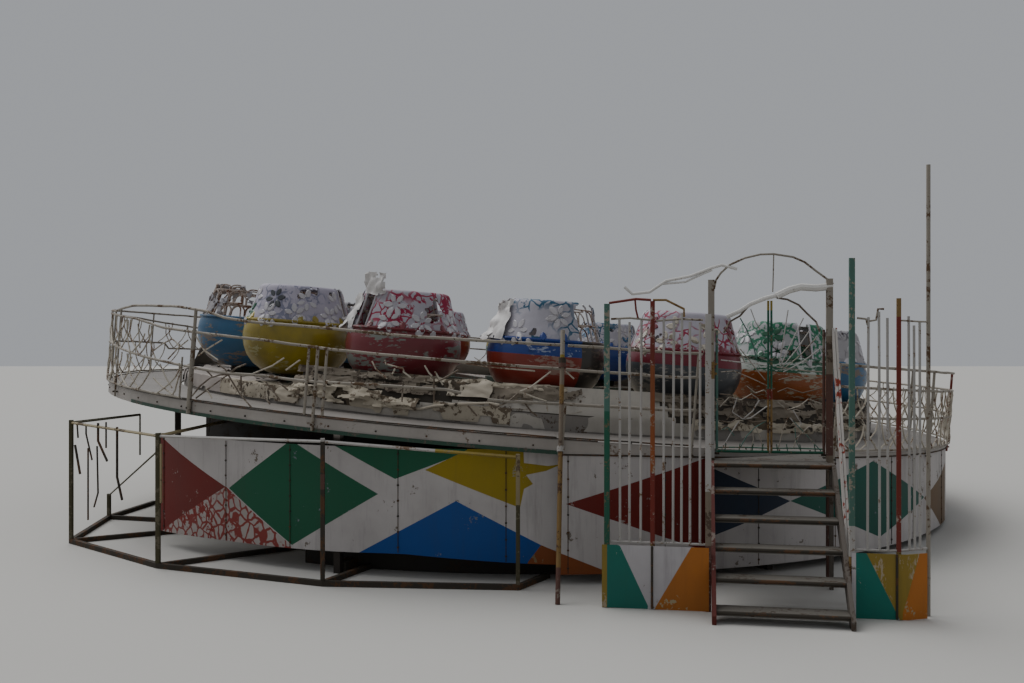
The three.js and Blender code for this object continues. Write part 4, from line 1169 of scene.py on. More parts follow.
# %% [markdown]
# Gelcoat is the glossy skin of glass fibre. Years of sun have dulled it, and repainting has left soft
# flakes that lie level, because they follow brush strokes round the bowl. Each tub has its own pair of
# bowl colours, a colour under the crown's skin and a few coloured petals.
# %% Gelcoat colours


def gelcoat(name, paint, under, flakes=0.34, clouds=0.3):
    return weathered(name, paint, under, chips=flakes, chip_size=0.09, chip_shape=(1, 1, 3.0), streaks=0.25,
                     clouds=clouds, roughness=0.38, relief=0.001, coat=0.25)


gel = {name: gelcoat("gel_" + name, *look) for name, look in {
    "red": ("#74242e", "#757872", 0.38), "blue": ("#15387e", "#8b94a8", 0.16),
    "yellow": ("#a89418", "#98936a", 0.26, 0.7), "brick": ("#7c2a1e", "#8a6f64", 0.22),
    "green": ("#175c40", "#b3b8b2", 0.42), "orange": ("#8a4a20", "#98907f", 0.40),
    "sky": ("#2f6389", "#7a6f66", 0.38), "white": ("#bab7bb", "#8d8a8c", 0.16),
    "cream": ("#b5ad9f", "#857c6c", 0.32), "lilac": ("#a49fb2", "#77737c", 0.24),
    "maroon": ("#6b1426", "#8f7f80", 0.22), "teal": ("#1e4e62", "#8f9a9c", 0.28),
    "pink": ("#a8607a", "#a79a9c", 0.20), "slate": ("#3f4348", "#77736d", 0.36),
    "dark_grey": ("#2f2b27", "#5a4f46", 0.34),
}.items()}
gel_order = list(gel)
skins = {name: veined("skin_over_" + name, *look, share=share) for name, look, share in (
    ("teal", ("#aaa7b0", "#23516a", 0.22), 0.48), ("maroon", ("#aaa6af", "#8a2440", 0.24), 0.48),
    ("green", ("#a6a7a8", "#2b6a50", 0.30), 0.45), ("slate", ("#a5a2a5", "#67646a", 0.26), 0.50),
    ("lilac", ("#a9a4b2", "#747587", 0.22), 0.52),
)}
skin_order = list(skins)
TUB_LOOKS = [  # bowl, band, layer under the skin, petals, coloured petals
    ("brick", "blue", "teal", "white", ["teal", "sky"]),
    ("slate", "maroon", "maroon", "cream", ["maroon", "slate"]),
    ("orange", "green", "green", "white", ["green"]),
    ("sky", "sky", "slate", "white", ["blue"]),
    ("green", "green", "slate", "cream", ["red"]),
    ("yellow", "yellow", "maroon", "white", ["green"]),
    ("red", "orange", "slate", "white", ["yellow"]),
    ("blue", "blue", "teal", "white", ["sky"]),
    ("green", "yellow", "slate", "cream", ["green"]),
    ("brick", "brick", "maroon", "white", ["pink"]),
    ("sky", "blue", "slate", "white", ["sky"]),
    ("yellow", "orange", "teal", "white", ["teal"]),
    ("slate", "brick", "slate", "cream", ["maroon"]),
    ("sky", "sky", "slate", "white", ["pink"]),
    ("yellow", "yellow", "lilac", "white", ["green", "pink", "teal", "slate"]),
    ("red", "red", "maroon", "white", ["maroon", "slate"]),
]
BARE_TUBS = (13, 14)  # their crowns have lost their skin
PARKED = [20, -35, 60, 10, 75, -20, 40, 0, 55, 15, -50, 30, 80, -10, 35, 65]  # degrees, as in the frame
TUB_RING, TUB_SEAT = 4.07, 0.290
ROD_WHITE = len(gel_order) + len(skin_order)
SHEETING = ROD_WHITE + 1


def tub_angle(index):
    """The angle at which a tub stands, from its own axis in the frame."""
    return bearing(deck.inverted() @ Vector(joints[f"tub_{index + 1:02d}_spin"]["pos_m"]))


print("gelcoats:", len(gel_order))

# %% [markdown]
# Under each crown runs a frame of thin rod: three hoops, and arches between them. Two tubs have lost
# most of their skin, and there this frame is nearly all that stands. It is made for every tub, from the
# same numbers, but with more and thicker arches where it shows.
# %% Crown frame


FRAME_LEVELS = (0.63, 0.80, 0.960)
FRAME_TOP = 1.03
FRAME_INSET = 0.030


def crown_frame(bm, material, bare, rng):
    hoop, arch = (0.011, 0.0105) if bare else (0.008, 0.0075)
    bays, sway = (7, 0.010) if bare else (5, 0.0)
    gap = math.asin(CROWN_GAP / 2 / 0.5)
    for side in (0, 1):
        start = gap + side * math.pi + 0.05
        sweep = math.pi - 2 * gap - 0.10
        for level in FRAME_LEVELS:
            radius = crown_radius(level) - FRAME_INSET
            arc = [start + sweep * i / 20 for i in range(21)]
            pipe(bm, [(radius * math.cos(a), radius * math.sin(a),
                       level + sway * noise.noise(Vector((a * 2, level * 9, 1)))) for a in arc],
                 hoop, 6, material)
        for tier, (low, high) in enumerate(zip(FRAME_LEVELS, FRAME_LEVELS[1:] + (FRAME_TOP,))):
            if not bare and tier == 2:
                continue
            for bay in range(bays):
                if bare and rng.random() < 0.15:
                    continue
                points = []
                for i in range(9):
                    t = i / 8
                    a = start + sweep * (bay + 0.5 - 0.5 * math.cos(math.pi * t)) / bays
                    a += rng.uniform(-0.01, 0.01)
                    z = low + (high - low) * (math.sin(math.pi * t) ** 0.55)
                    radius = crown_radius(min(z, 1.0)) - FRAME_INSET + rng.uniform(-0.004, 0.004)
                    points.append((radius * math.cos(a), radius * math.sin(a), z))
                pipe(bm, points, arch, 5, material)


print("crown frame helper is ready")

# %% [markdown]
# Now the tubs themselves. The bowl's faces take the band colour above the shoulder and the bowl colour
# below. The skin's own paint has flaked and lets the layer under it show between the petals, and its
# torn edges are smoothed, so that they look like torn glass fibre and not like steps. Over three crowns
# hangs crumpled white sheeting, made as a patchwork of small squares that a noise has torn. The finished
# tub is turned as it is parked and set on its bearing, at the place of its own axis.
# %% Tubs
sheeting = weathered("torn_sheeting", "#d2cfcd", "#8d8781", chips=0.10, chip_size=0.04, clouds=0.3,
                     roughness=0.5)
rod_white = weathered("rod_white", "#a89a90", "#6b4a38", chips=0.42, chip_size=0.03)
BAND_FOOT, RIM_TOP = 0.46, 0.62
SKIN_THICK = 0.012
FOOT_OF_SKIN, TOP_OF_SKIN = 0.63, 1.0  # between these heights its torn edges are softened
PETALS_IN_FLOWER, TIPS = 6, 22
FLOWER_ROWS = ((0.700, 10), (0.870, 9))  # height, number


def stripped(index, point):
    """Whether a point of a tub, still upright and unturned, is on the part without its skin."""
    if index != 0:
        return False
    turn = tub_angle(index) + PARKED[index] + 14 * noise.noise(Vector((0, 0, point.z * 5)))
    return STRIPPED[0] < bearing(point) + turn < STRIPPED[1]


def bowl(bm, index, outside, band):
    spun(bm, BOWL_OUTSIDE + BOWL_RIM + BOWL_INSIDE, TUB_STEPS)
    bmesh.ops.remove_doubles(bm, verts=bm.verts[:], dist=1e-5)
    for face in bm.faces:
        middle = face.calc_center_median()
        # the first tub's bowl is dark grey on the side where its crown has lost its skin
        look = "dark_grey" if stripped(index, middle) else band if middle.z > BAND_FOOT else outside
        if middle.xy.length < reach_at(BOWL_OUTSIDE, middle.z) - 0.012 and middle.z < RIM_TOP:
            look = "cream"
        face.material_index = gel_order.index(look)
    bmesh.ops.recalc_face_normals(bm, faces=bm.faces[:])


def crown_skin(bm, index, under, whole):
    """The crown's skin. whole says how much of it is left, from 0 to 1."""
    spun(bm, CROWN, 2 * TUB_STEPS)
    half = CROWN_GAP / 2
    for side in (-half, half):
        geom = bm.verts[:] + bm.edges[:] + bm.faces[:]
        bmesh.ops.bisect_plane(bm, geom=geom, dist=1e-5, plane_co=(0, side, 0), plane_no=(0, 1, 0))
    shift = Vector((index * 3.1, index * 1.7, 0))
    lost = []
    for face in bm.faces:
        middle = face.calc_center_median()
        patch = noise.fractal(middle * 3.6 + shift, 0.75, 2.1, 4)
        left = 0.30 if stripped(index, middle) else whole
        if abs(middle.y) < half or patch > 1.5 * left - 0.78:
            lost.append(face)
        face.material_index = len(gel_order) + skin_order.index(under)
    bmesh.ops.delete(bm, geom=lost, context="FACES")
    for _ in range(2):
        soften(bm, [v for v in bm.verts if v.is_boundary and abs(v.co.y) > half + 0.004
                    and FOOT_OF_SKIN < v.co.z < TOP_OF_SKIN])
    for vert in bm.verts:
        out = Vector((vert.co.x, vert.co.y, 0)).normalized()
        dent = 0.010 * noise.noise(vert.co * 4 + shift) + 0.004 * noise.noise(vert.co * 14 + shift)
        vert.co += out * dent * smooth_step(vert.co.z, 0.62, 0.70)
    turn_outward(bm, probe=min(bm.faces, key=lambda face: face.calc_center_median().z))
    bmesh.ops.solidify(bm, geom=bm.faces[:], thickness=SKIN_THICK)


def in_gap(radius, angle):
    return abs(radius * math.sin(angle)) < CROWN_GAP / 2 + 0.040


def crown_petals(bm, index, rng, petals, accents, band):
    """Flowers of six petals in two staggered rows, and a row of tips in the band's colour."""
    for row, (z, count) in enumerate(FLOWER_ROWS):
        radius = surface_radius(z)
        for k in range(count):
            centre = math.tau * (k + 0.5 * row) / count + rng.uniform(-0.06, 0.06)
            spot = Vector((math.cos(centre), math.sin(centre), 0))
            if rng.random() < 0.18 or stripped(index, spot):
                continue
            name = rng.choice(accents) if rng.random() < (0.35 if index == 14 else 0.14) else petals
            spin = rng.uniform(0, math.pi / 3)
            for step in range(PETALS_IN_FLOWER):
                way = spin + math.tau * step / PETALS_IN_FLOWER
                angle = centre + PETAL_REACH * math.sin(way) / radius
                up = PETAL_REACH * math.cos(way)
                if z + up > 0.60 and in_gap(radius, angle) or rng.random() < 0.20:
                    continue
                size = rng.uniform(0.85, 1.1)
                petal(bm, angle, z + up, PETAL_WIDE * size, PETAL_LONG * size, -way, gel_order.index(name))
    for k in range(TIPS):
        angle = math.tau * (k + rng.uniform(-0.2, 0.2)) / TIPS
        spot = Vector((math.cos(angle), math.sin(angle), 0))
        if rng.random() < 0.25 or stripped(index, spot):
            continue
        down = rng.random() < 0.35
        if not down and in_gap(0.6, angle):
            continue
        petal(bm, angle, 0.585 if down else 0.655, 0.080, 0.110, rng.uniform(-0.3, 0.3),
              gel_order.index(petals if down else band))


LOOSE_SHEETS = [  # tub, start, end, low, high, how far the foot stands out, crumple
    (0, -118, -48, 0.60, 1.01, 0.035, 0.070), (0, -124, -66, 0.59, 0.74, 0.100, 0.060),
    (15, -106, -56, 0.60, 0.98, 0.020, 0.050), (15, -118, -74, 0.59, 0.72, 0.100, 0.060),
    (15, -56, -22, 0.97, 1.21, 0.000, 0.050), (14, 66, 112, 0.59, 0.72, 0.100, 0.060),
]


def loose_sheet(bm, index, first, last, low, high, foot, crumple):
    """Crumpled sheeting that has come down over a crown. The angles are the ride's own."""
    turn = tub_angle(index) + PARKED[index]
    rows, count = 12, round((last - first) / 2.5)
    shift = Vector((index * 5.1, low * 9, high * 4))

    def place(i, j):
        t = j / rows
        z = low + (high - low) * t
        spot = Vector((i * 0.17, z * 5.5, 0)) + shift
        out = crown_radius(min(max(z, 0.66), 1.0)) + 0.018 + foot * (1 - t) ** 1.5
        out += crumple * abs(noise.fractal(spot, 0.8, 2.0, 3))
        angle = math.radians(first + (last - first) * i / count - turn) + 0.05 * noise.noise(spot * 1.9)
        return out * math.sin(angle), -out * math.cos(angle), z + 0.025 * noise.noise(spot * 1.3)

    def gone(i, j, _):
        edge = max(abs(2 * (i + 0.5) / count - 1), abs(2 * (j + 0.5) / rows - 1)) ** 4
        return noise.fractal(Vector((i * 0.24, j * 0.30, 5)) + shift, 0.8, 2.2, 3) + 0.6 * edge > 0.72

    made = patchwork(bm, count, rows, place, gone, SHEETING)
    bmesh.ops.solidify(bm, geom=made, thickness=0.004)


def build_tub(index):
    rng = random.Random(100 + index)
    outside, band, under, petals, accents = TUB_LOOKS[index]
    bare = index + 1 in BARE_TUBS
    bm = bmesh.new()
    bowl(bm, index, outside, band)
    skin_bm = bmesh.new()
    crown_skin(skin_bm, index, under, 0.30 if bare else {0: 1.1, 14: 0.88}.get(index, 0.96))
    mesh = bpy.data.meshes.new("crown")
    skin_bm.to_mesh(mesh)
    skin_bm.free()
    bm.from_mesh(mesh)
    bpy.data.meshes.remove(mesh)
    crown_frame(bm, ROD_WHITE, bare, rng)
    if not bare:
        crown_petals(bm, index, rng, petals, accents, band)
        crown_beads(bm, gel_order.index("white"))
    for sheet in LOOSE_SHEETS:
        if sheet[0] == index:
            loose_sheet(bm, *sheet)
    if index == 0:
        petal(bm, math.radians(-127), 0.43, 0.085, 0.085, 0, gel_order.index("cream"))
    turned = Matrix.Rotation(math.radians(tub_angle(index) + PARKED[index]), 4, "Z")
    seat = Matrix.Translation(polar(tub_angle(index), TUB_RING, TUB_SEAT))
    bmesh.ops.transform(bm, matrix=deck @ seat @ turned, verts=bm.verts[:])
    node = f"tub_{index + 1:02d}"
    finish_piece(node + "_shell", bm, node, [*gel.values(), *skins.values(), rod_white, sheeting],
                 [node], outward=False)


def crown_beads(bm, material):
    """A rolled edge along both sides of each gap."""
    half = CROWN_GAP / 2 + 0.004
    for sx in (-1, 1):
        for sy in (-1, 1):
            points = [(sx * math.sqrt(r * r - half * half), sy * half, z) for r, z in CROWN[:-2:2]]
            pipe(bm, points, 0.011, 6, material)


for index in range(16):
    build_tub(index)

# %% [markdown]
# The entrance has its own small frame of reference: across the stair, and down it. The gate posts are
# square tube in many coats of paint. An arch of one thin pipe rises over them, and white pipes that have
# come down from above hang on it. Each leaf has an arched upper edge, a sunburst of thin rods round a
# middle upright, a tangle of broken rods below it and a fan at its foot. They are laid where the picture
# shows them, and drawn in a little towards the left post, so that they fit between the posts.
# %% Entrance steelwork
STAIR_TOP = Vector((2.160, -5.855, 0))
entrance = Matrix.Translation(STAIR_TOP) @ Matrix.Rotation(math.radians(-10), 4, "Z")
GATE_Y = 0.240
GATE_BOTTOM = 1.210
LEAF_WIDTH = 0.485
LEAF_SIDE = 1.150
LEAF_MIDDLE = 1.420
LEAF_INNER, LEAF_PIPE = 0.0145, 0.013
GATE_POST_X = 0.536
GATE_POST_TOP = 2.830
enamels = [white_enamel, green_enamel, red_enamel, orange_enamel, pale_pipe, bare_steel, ochre_enamel,
           yellow_enamel, teal_enamel, tan_enamel, brown_enamel, brown_pipe, hose_white]
WHITE, GREEN, RED, ORANGE, GREY, STEEL, OCHRE, YELLOW, TEAL, TAN, BROWN, RUSTY, HOSE = range(13)


def local(x, y, z):
    return entrance @ Vector((x, y, z))


def seen_at(px, py, y):
    """Where a pixel falls on the upright plane across the stair at a distance down it."""
    return seen_on_plane(px, py, local(0, y, 0), entrance.to_3x3() @ Vector((0, -1, 0)))


def across(px, y):
    """How far across the stair an upright at a pixel column stands."""
    return (entrance.inverted() @ seen_at(px, 420, y)).x


def bent_rod(bm, start, end, radius, rng, material):
    """A thin rod that has been knocked out of line by a few millimetres."""
    shift = Vector((rng.uniform(-99, 99), 0, 0))
    points = []
    for i in range(5):
        spot = start.lerp(end, i / 4)
        spot += noise.noise_vector(spot * 1.5 + shift) * 0.006 * math.sin(math.pi * i / 4)
        points.append(spot)
    pipe(bm, points, radius, 5, material)


GATE_LEFT_PX, GATE_SQUEEZE = 716, 0.962
ARCH = [(714, 289), (716, 280), (721, 273), (730, 265), (746, 258), (762, 254.4), (776, 254), (796, 257),
        (808, 262), (820, 271), (830, 278), (838, 284)]
HANGING_PIPES = [  # radius, colour, pixels
    (0.014, HOSE, [(621, 287), (629, 294), (647, 292), (664, 281), (690, 276), (711, 268), (722, 265),
                   (738, 269)]),
    (0.010, HOSE, [(660, 284), (684, 282), (702, 274), (712, 270)]),
    (0.034, HOSE, [(779, 296), (792, 290), (804, 287), (820, 288), (837, 286)]),
    (0.020, HOSE, [(727, 317), (741, 311), (752, 304), (768, 298), (781, 295)]),
]


def on_gate(px, py):
    return seen_at(GATE_LEFT_PX + (px - GATE_LEFT_PX) * GATE_SQUEEZE, py, GATE_Y)


def gate_frame_piece():
    bm = bmesh.new()
    left = [(0.0, BROWN), (0.98, TAN), (1.16, WHITE), (1.90, OCHRE), (2.06, GREY)]
    right = [(0.0, BROWN), (0.85, TAN), (1.20, BROWN), (1.95, TAN), (2.30, GREY)]
    for side, bands in ((-1, left), (1, right)):
        post(bm, (side * GATE_POST_X, GATE_Y, 0), GATE_POST_TOP, 0.060, bands, entrance)
    for side in (-1, 1):
        lug = [local(side * (GATE_POST_X - x), GATE_Y, GATE_BOTTOM - 0.0105) for x in (0.075, 0.02)]
        rod(bm, *lug, 0.010, 8, STEEL)
    traced(bm, on_gate, [(0.010, GREY, ARCH)], 8)
    traced(bm, on_gate, [(0.006, GREY, [(776, 254), (775.5, 275), (775, 292)])], 6)
    traced(bm, on_gate, HANGING_PIPES, 8)
    for z in (1.93, 2.02):
        rod(bm, local(-GATE_POST_X - 0.06, GATE_Y, z), local(-GATE_POST_X + 0.055, GATE_Y, z + 0.02),
            0.016, 6, OCHRE)
    finish_piece("gate_posts", bm, "base", enamels, ["gate_frame"])


LEAF_RODS = {  # radius, colour, pixels, for the left leaf and then the right
    -1: [
        (0.010, RUSTY, [(724, 333), (730, 322), (741, 316), (750, 306), (760, 300.5), (771, 298)]),
        (0.006, GREY, [(727, 335), (736, 346), (743, 356), (746, 363)]),
        (0.006, TEAL, [(741, 318), (748, 330), (755, 346), (758, 359)]),
        (0.005, WHITE, [(752, 309), (757, 322), (762, 330)]),
        (0.005, GREY, [(741, 349), (748, 357), (760, 372), (768, 381)]),
        (0.006, WHITE, [(721, 360), (738, 362), (752, 363), (773, 366)]),
        (0.005, GREY, [(721, 372), (735, 371), (752, 378), (770, 386)]),
        (0.006, RUSTY, [(720, 394), (731, 395), (736, 407), (727, 420)]),
        (0.006, GREY, [(720, 407), (730, 397), (742, 400), (753, 394), (760, 399)]),
        (0.007, WHITE, [(738, 398), (733, 412), (744, 419), (754, 411), (761, 400)]),
        (0.006, WHITE, [(745, 419), (752, 418), (768, 407), (773, 405)]),
        (0.006, RUSTY, [(722, 421), (731, 423), (742, 416), (754, 422), (768, 421)]),
        (0.005, GREY, [(748, 386), (757, 393), (766, 390), (773, 398)]),
        (0.005, WHITE, [(722, 449), (731, 434), (740, 421)]),
        (0.005, TEAL, [(741, 448), (748, 436), (757, 427), (768, 421)]),
        (0.005, GREY, [(765, 451), (762, 438), (758, 429), (753, 424)]),
        (0.005, GREY, [(752, 451), (755, 440), (754, 428)]),
        (0.005, TEAL, [(722, 430), (728, 427), (735, 436)]),
    ],
    1: [
        (0.010, RUSTY, [(779, 298), (790, 299.5), (802, 305), (810, 313), (820, 322), (824, 332)]),
        (0.006, WHITE, [(782, 364), (786, 340), (791, 310)]),
        (0.006, WHITE, [(783, 366), (795, 341), (807, 318)]),
        (0.006, WHITE, [(784, 368), (801, 348), (813, 331)]),
        (0.005, GREY, [(785, 370), (804, 355), (821, 337)]),
        (0.006, WHITE, [(786, 372), (806, 362), (825, 348)]),
        (0.006, GREY, [(779, 367), (796, 369), (810, 371), (826, 372)]),
        (0.005, TAN, [(781, 380), (797, 376), (812, 380), (826, 377)]),
        (0.006, RUSTY, [(780, 392), (790, 388), (806, 393), (826, 388)]),
        (0.006, GREY, [(780, 402), (790, 410), (803, 406), (812, 399), (826, 404)]),
        (0.006, WHITE, [(793, 418), (801, 427), (805, 424), (796, 410)]),
        (0.005, RUSTY, [(812, 398), (820, 410), (823, 420)]),
        (0.005, GREY, [(780, 451), (786, 429), (791, 417)]),
        (0.005, TEAL, [(796, 421), (809, 434), (825, 451)]),
        (0.005, GREY, [(796, 449), (800, 438), (812, 427), (824, 424)]),
        (0.005, TEAL, [(804, 451), (799, 440), (798, 428)]),
    ],
}


def gate_leaf(node, side):
    bm = bmesh.new()

    def at(x, z):
        return local(side * x, GATE_Y, GATE_BOTTOM + z)

    pipe(bm, [at(LEAF_WIDTH, z) for z in (0, 0.6, LEAF_SIDE)], LEAF_PIPE, 8, TEAL if side < 0 else BROWN)
    bands = [(0.0, OCHRE), (0.50, RED), (0.60, GREEN), (1.33, YELLOW), (LEAF_MIDDLE, YELLOW)]
    for (low, material), (high, _) in zip(bands, bands[1:]):
        rod(bm, at(LEAF_INNER, low), at(LEAF_INNER, high), 0.0105, 8, material)
    foot_rails = ((LEAF_PIPE, 8, (0.012, 0.010, 0.012)), (0.006, 6, (0.045, 0.050, 0.046)))
    for radius, sides, heights in foot_rails:
        pipe(bm, [at(x, z) for x, z in zip((LEAF_WIDTH, 0.25, 0.010), heights)], radius, sides, GREEN)
    for x in (0.06, 0.15, 0.27, 0.40):
        pipe(bm, [at(x + 0.012, 0.01), at(x, 0.085)], 0.005, 5, GREEN)
    traced(bm, on_gate, LEAF_RODS[side])
    finish_piece(node + "_rods", bm, node, enamels, [node])


gate_frame_piece()
gate_leaf("gate_left", -1)
gate_leaf("gate_right", 1)

# %% [markdown]
# The flank screens stand on both sides of the stair's foot: upright pipes between painted posts, over
# a sheet with triangles. The bars are white enamel, rusty toward the foot, and each stands where the
# picture shows it. Short bent pipes are left of the rails that once closed the bays at the top.
# %% Flank screens
SCREEN_Y = -0.900
PANEL_TOP = 0.535
SCREEN_TOP = 2.440
SCREEN_POST_X = 0.5753
SCREEN_FOOT = PANEL_TOP + 0.02
BAR_PIPE = 0.011
LEFT_BARS = (620, 629.5, 640.7, 663.6, 673, 681.4, 690, 700)  # pixel columns
RIGHT_BARS = (867.6, 879.6, 888)
TURNED_BARS = (909, 915, 921)
LEFT_TOPS = [
    (0.011, RED, [(609, 303), (636, 299), (651, 300)]), (0.008, RED, [(635, 299), (636, 310), (638, 318)]),
    (0.010, OCHRE, [(653, 300), (666, 300), (684, 309), (684, 317)]),
    (0.009, GREY, [(611, 319), (630, 318), (650, 320)]),
    (0.009, GREY, [(656, 321), (680, 319), (703, 320)]),
]
RIGHT_TOPS = [
    (0.009, GREY, [(857, 318), (866, 319), (867.6, 325)]),
    (0.009, GREY, [(867, 321.5), (876, 320), (878, 309), (884, 309)]),
]


def screen_bar(bm, x, y, high, rng):
    lean = rng.uniform(-0.008, 0.008)
    middle = SCREEN_FOOT + (high - SCREEN_FOOT) * rng.uniform(0.25, 0.6)
    pipe(bm, [local(x, y, SCREEN_FOOT), local(x + lean * 0.3, y, middle), local(x + lean, y, high)],
         BAR_PIPE, 7, WHITE)


def on_screen(px, py):
    return seen_at(px, py, SCREEN_Y)


def left_screen():
    rng = random.Random(51)
    bm = bmesh.new()
    for x, top, width, bands in (
            (-1.42, 2.570, 0.046, [(0, YELLOW), (0.53, GREEN), (1.66, TEAL)]),
            (-1.036, 2.590, 0.038, [(0, OCHRE), (0.55, RED), (1.15, ORANGE), (2.05, RED)]),
            (-SCREEN_POST_X, 2.480, 0.050, [(0, BROWN), (0.55, TAN), (1.0, WHITE)])):
        post(bm, (x, SCREEN_Y, 0), top, width, bands, entrance)
    foot = [local(x, SCREEN_Y, SCREEN_FOOT) for x in (-1.42, -SCREEN_POST_X)]
    bent_rod(bm, *foot, BAR_PIPE, rng, WHITE)
    for px in LEFT_BARS:
        top = SCREEN_TOP + rng.uniform(-0.05, 0.05)
        screen_bar(bm, across(px, SCREEN_Y), SCREEN_Y, top, rng)
    traced(bm, on_screen, LEFT_TOPS, 6)
    finish_piece("flank_bars_left", bm, "base", enamels, ["flank_screen_left"])


def right_screen():
    rng = random.Random(52)
    bm = bmesh.new()
    turn = Vector((0.940, SCREEN_Y))
    end = Vector((1.200, SCREEN_Y + 0.160))
    post(bm, (SCREEN_POST_X, SCREEN_Y, 0), 2.930, 0.046, [(0, OCHRE), (0.5, WHITE), (0.75, TEAL)], entrance)
    post(bm, (*turn, 0), 2.600, 0.034, [(0, OCHRE), (0.55, RED), (2.45, OCHRE)], entrance)
    pipe(bm, [local(*end, z) for z in (0, 1.8, 3.70)], 0.017, 10, GREY)
    foot = [local(x, y, SCREEN_FOOT) for x, y in ((SCREEN_POST_X, SCREEN_Y), turn, end)]
    bent_rod(bm, *foot[:2], BAR_PIPE, rng, WHITE)
    bent_rod(bm, *foot[1:], BAR_PIPE, rng, WHITE)
    bent_rod(bm, local(*turn, SCREEN_TOP - 0.02), local(*end, SCREEN_TOP - 0.03), 0.008, rng, GREY)
    for px in RIGHT_BARS:
        top = SCREEN_TOP + rng.uniform(-0.04, 0.06)
        screen_bar(bm, across(px, SCREEN_Y), SCREEN_Y, top, rng)
    for px in TURNED_BARS:
        t = (across(px, SCREEN_Y + 0.08) - turn.x) / (end.x - turn.x)
        top = SCREEN_TOP + rng.uniform(-0.06, 0.06)
        screen_bar(bm, *turn.lerp(end, t), top, rng)
    traced(bm, on_screen, RIGHT_TOPS, 6)
    finish_piece("flank_bars_right", bm, "base", enamels, ["flank_screen_right"])


left_screen()
right_screen()

# %% [markdown]
# The two low panels beside the stair are flat sheets with the same kind of triangles. They are cut the
# same way as the skirt, laid out as place across the stair by height, and wrapped onto their planes. The
# right one is bent back at its outer end.
# %% Flank panels
panel_colours = {
    "white": weathered("panel_white", "#b2aeb0", "#6d655c", chips=0.12, chip_size=0.04, streaks=0.4),
    "green": weathered("panel_green", "#02685c", "#8d9488", chips=0.08, chip_size=0.03, streaks=0.2),
    "orange": weathered("panel_orange", "#a8651f", "#9c8f70", chips=0.14, chip_size=0.04, streaks=0.3),
    "yellow": weathered("panel_yellow", "#87722a", "#9c8f78", chips=0.34, chip_size=0.035,
                        chip_shape=(2, 2, 0.6), streaks=0.4),
}
panel_order = list(panel_colours)
PANEL_FACE = SCREEN_Y - 0.0335
PANEL_HIGH = PANEL_TOP - 0.002
PANEL_BEND, PANEL_SLOPE = 1.002, 0.5376
PANEL_SHEET = 0.008


def panel_spot(px, py):
    """Where a pixel falls on the left or straight part of the panels, across and up."""
    flat = entrance.inverted() @ seen_at(px, py, PANEL_FACE)
    return flat.x, flat.z


LEFT_PANEL = [
    ("yellow", [(596, 540), (607, 540), (607, 620), (596, 620)]),
    ("green", [(607, 540), (620, 546), (648, 606), (646, 620), (607, 620)]),
    ("orange", [(692, 546), (720, 540), (720, 625), (653, 625), (655, 608)]),
]
RIGHT_PANEL = [
    ("green", [(856, 540), (866, 552), (899, 618), (896, 630), (856, 630)]),
    ("yellow", [(867, 540), (924, 540), (921, 556), (903, 612), (902, 630), (899, 618), (866, 552)]),
    ("orange", [(924, 540), (940, 540), (940, 630), (902, 630), (903, 612), (921, 556)]),
]


def panel_piece(node, span, listed):
    shapes = [([panel_spot(px, py) for px, py in pixels], panel_order.index(name))
              for name, pixels in listed]
    columns = [span[0] + (span[1] - span[0]) * i / 6 for i in range(7)]
    if span[1] > PANEL_BEND:
        columns = sorted(columns + [PANEL_BEND])

    def wrap(x, z):
        ripple = 0.003 * noise.noise(Vector((x * 3, z * 3, 5)))
        return local(x, PANEL_FACE - ripple + max(x - PANEL_BEND, 0) * PANEL_SLOPE, z)

    bm = painted_sheet(span, lambda u: 0.004, lambda u: PANEL_HIGH, columns, shapes, wrap)
    turn_outward(bm, entrance.to_3x3() @ Vector((0, -1, 0)))
    bmesh.ops.solidify(bm, geom=bm.faces[:], thickness=PANEL_SHEET)
    finish_piece(node + "_sheet", bm, "base", list(panel_colours.values()), [node],
                 outward=False)


panel_piece("flank_panel_left", (-1.460, -0.570), LEFT_PANEL)
panel_piece("flank_panel_right", (0.570, 1.172), RIGHT_PANEL)


def panel_strips():
    """Dark flat bars that stand in front of the sheets, where the middle posts are."""
    bm = bmesh.new()
    for px in (652, 897):
        x = across(px, PANEL_FACE)
        rod(bm, *[local(x, PANEL_FACE - 0.004, z) for z in (0.01, PANEL_HIGH)], 0.010, 6, 0)
    finish_piece("flank_panel_strips", bm, "base", [bare_steel])


panel_strips()

# %% [markdown]
# The stair is folded sheet between two plate stringers, and the handrail is a pair of flat bars. Their
# shapes in the frame are right already, so they only get finishes, plus a dark worn nosing along each
# tread, where the paint has gone first.
# %% Stair
tread_sheet = weathered("tread_sheet", "#65615a", "#4a3f35", chips=0.28, chip_size=0.05, streaks=0.0,
                        clouds=0.35, roughness=0.6, metallic=0.15)
TREADS, TREAD_RISE, TREAD_RUN = 6, 0.2087, 0.235
NOSE_LEVEL, NOSE_RADIUS, NOSE_HALF = 0.086, 0.016, 0.512
for step in range(TREADS):
    finish_node(f"tread_{step + 1}", tread_sheet)
finish_node("stringer_left", weathered("stringer_red", "#561d15", "#7d7068", chips=0.32, chip_size=0.03))
finish_node("stringer_right", weathered("stringer_grey", "#5f5851", "#493e35", chips=0.40, chip_size=0.04))
finish_node("handrail_right", weathered("handrail_white", "#b9b4ae", "#8a3a2c", chips=0.34, chip_size=0.03,
                                        chip_shape=(1, 1, 0.5), streaks=0.1))
finish_node("outer_frame_sill", bare_steel)


def nosings():
    bm = bmesh.new()
    for step in range(TREADS):
        y = TREAD_RUN * (step + 1 - TREADS) - 0.100
        z = NOSE_LEVEL + TREAD_RISE * step
        rod(bm, local(-NOSE_HALF, y, z), local(NOSE_HALF, y, z), NOSE_RADIUS, 8, 0)
    finish_piece("tread_nosings", bm, "base", [bare_steel])


nosings()

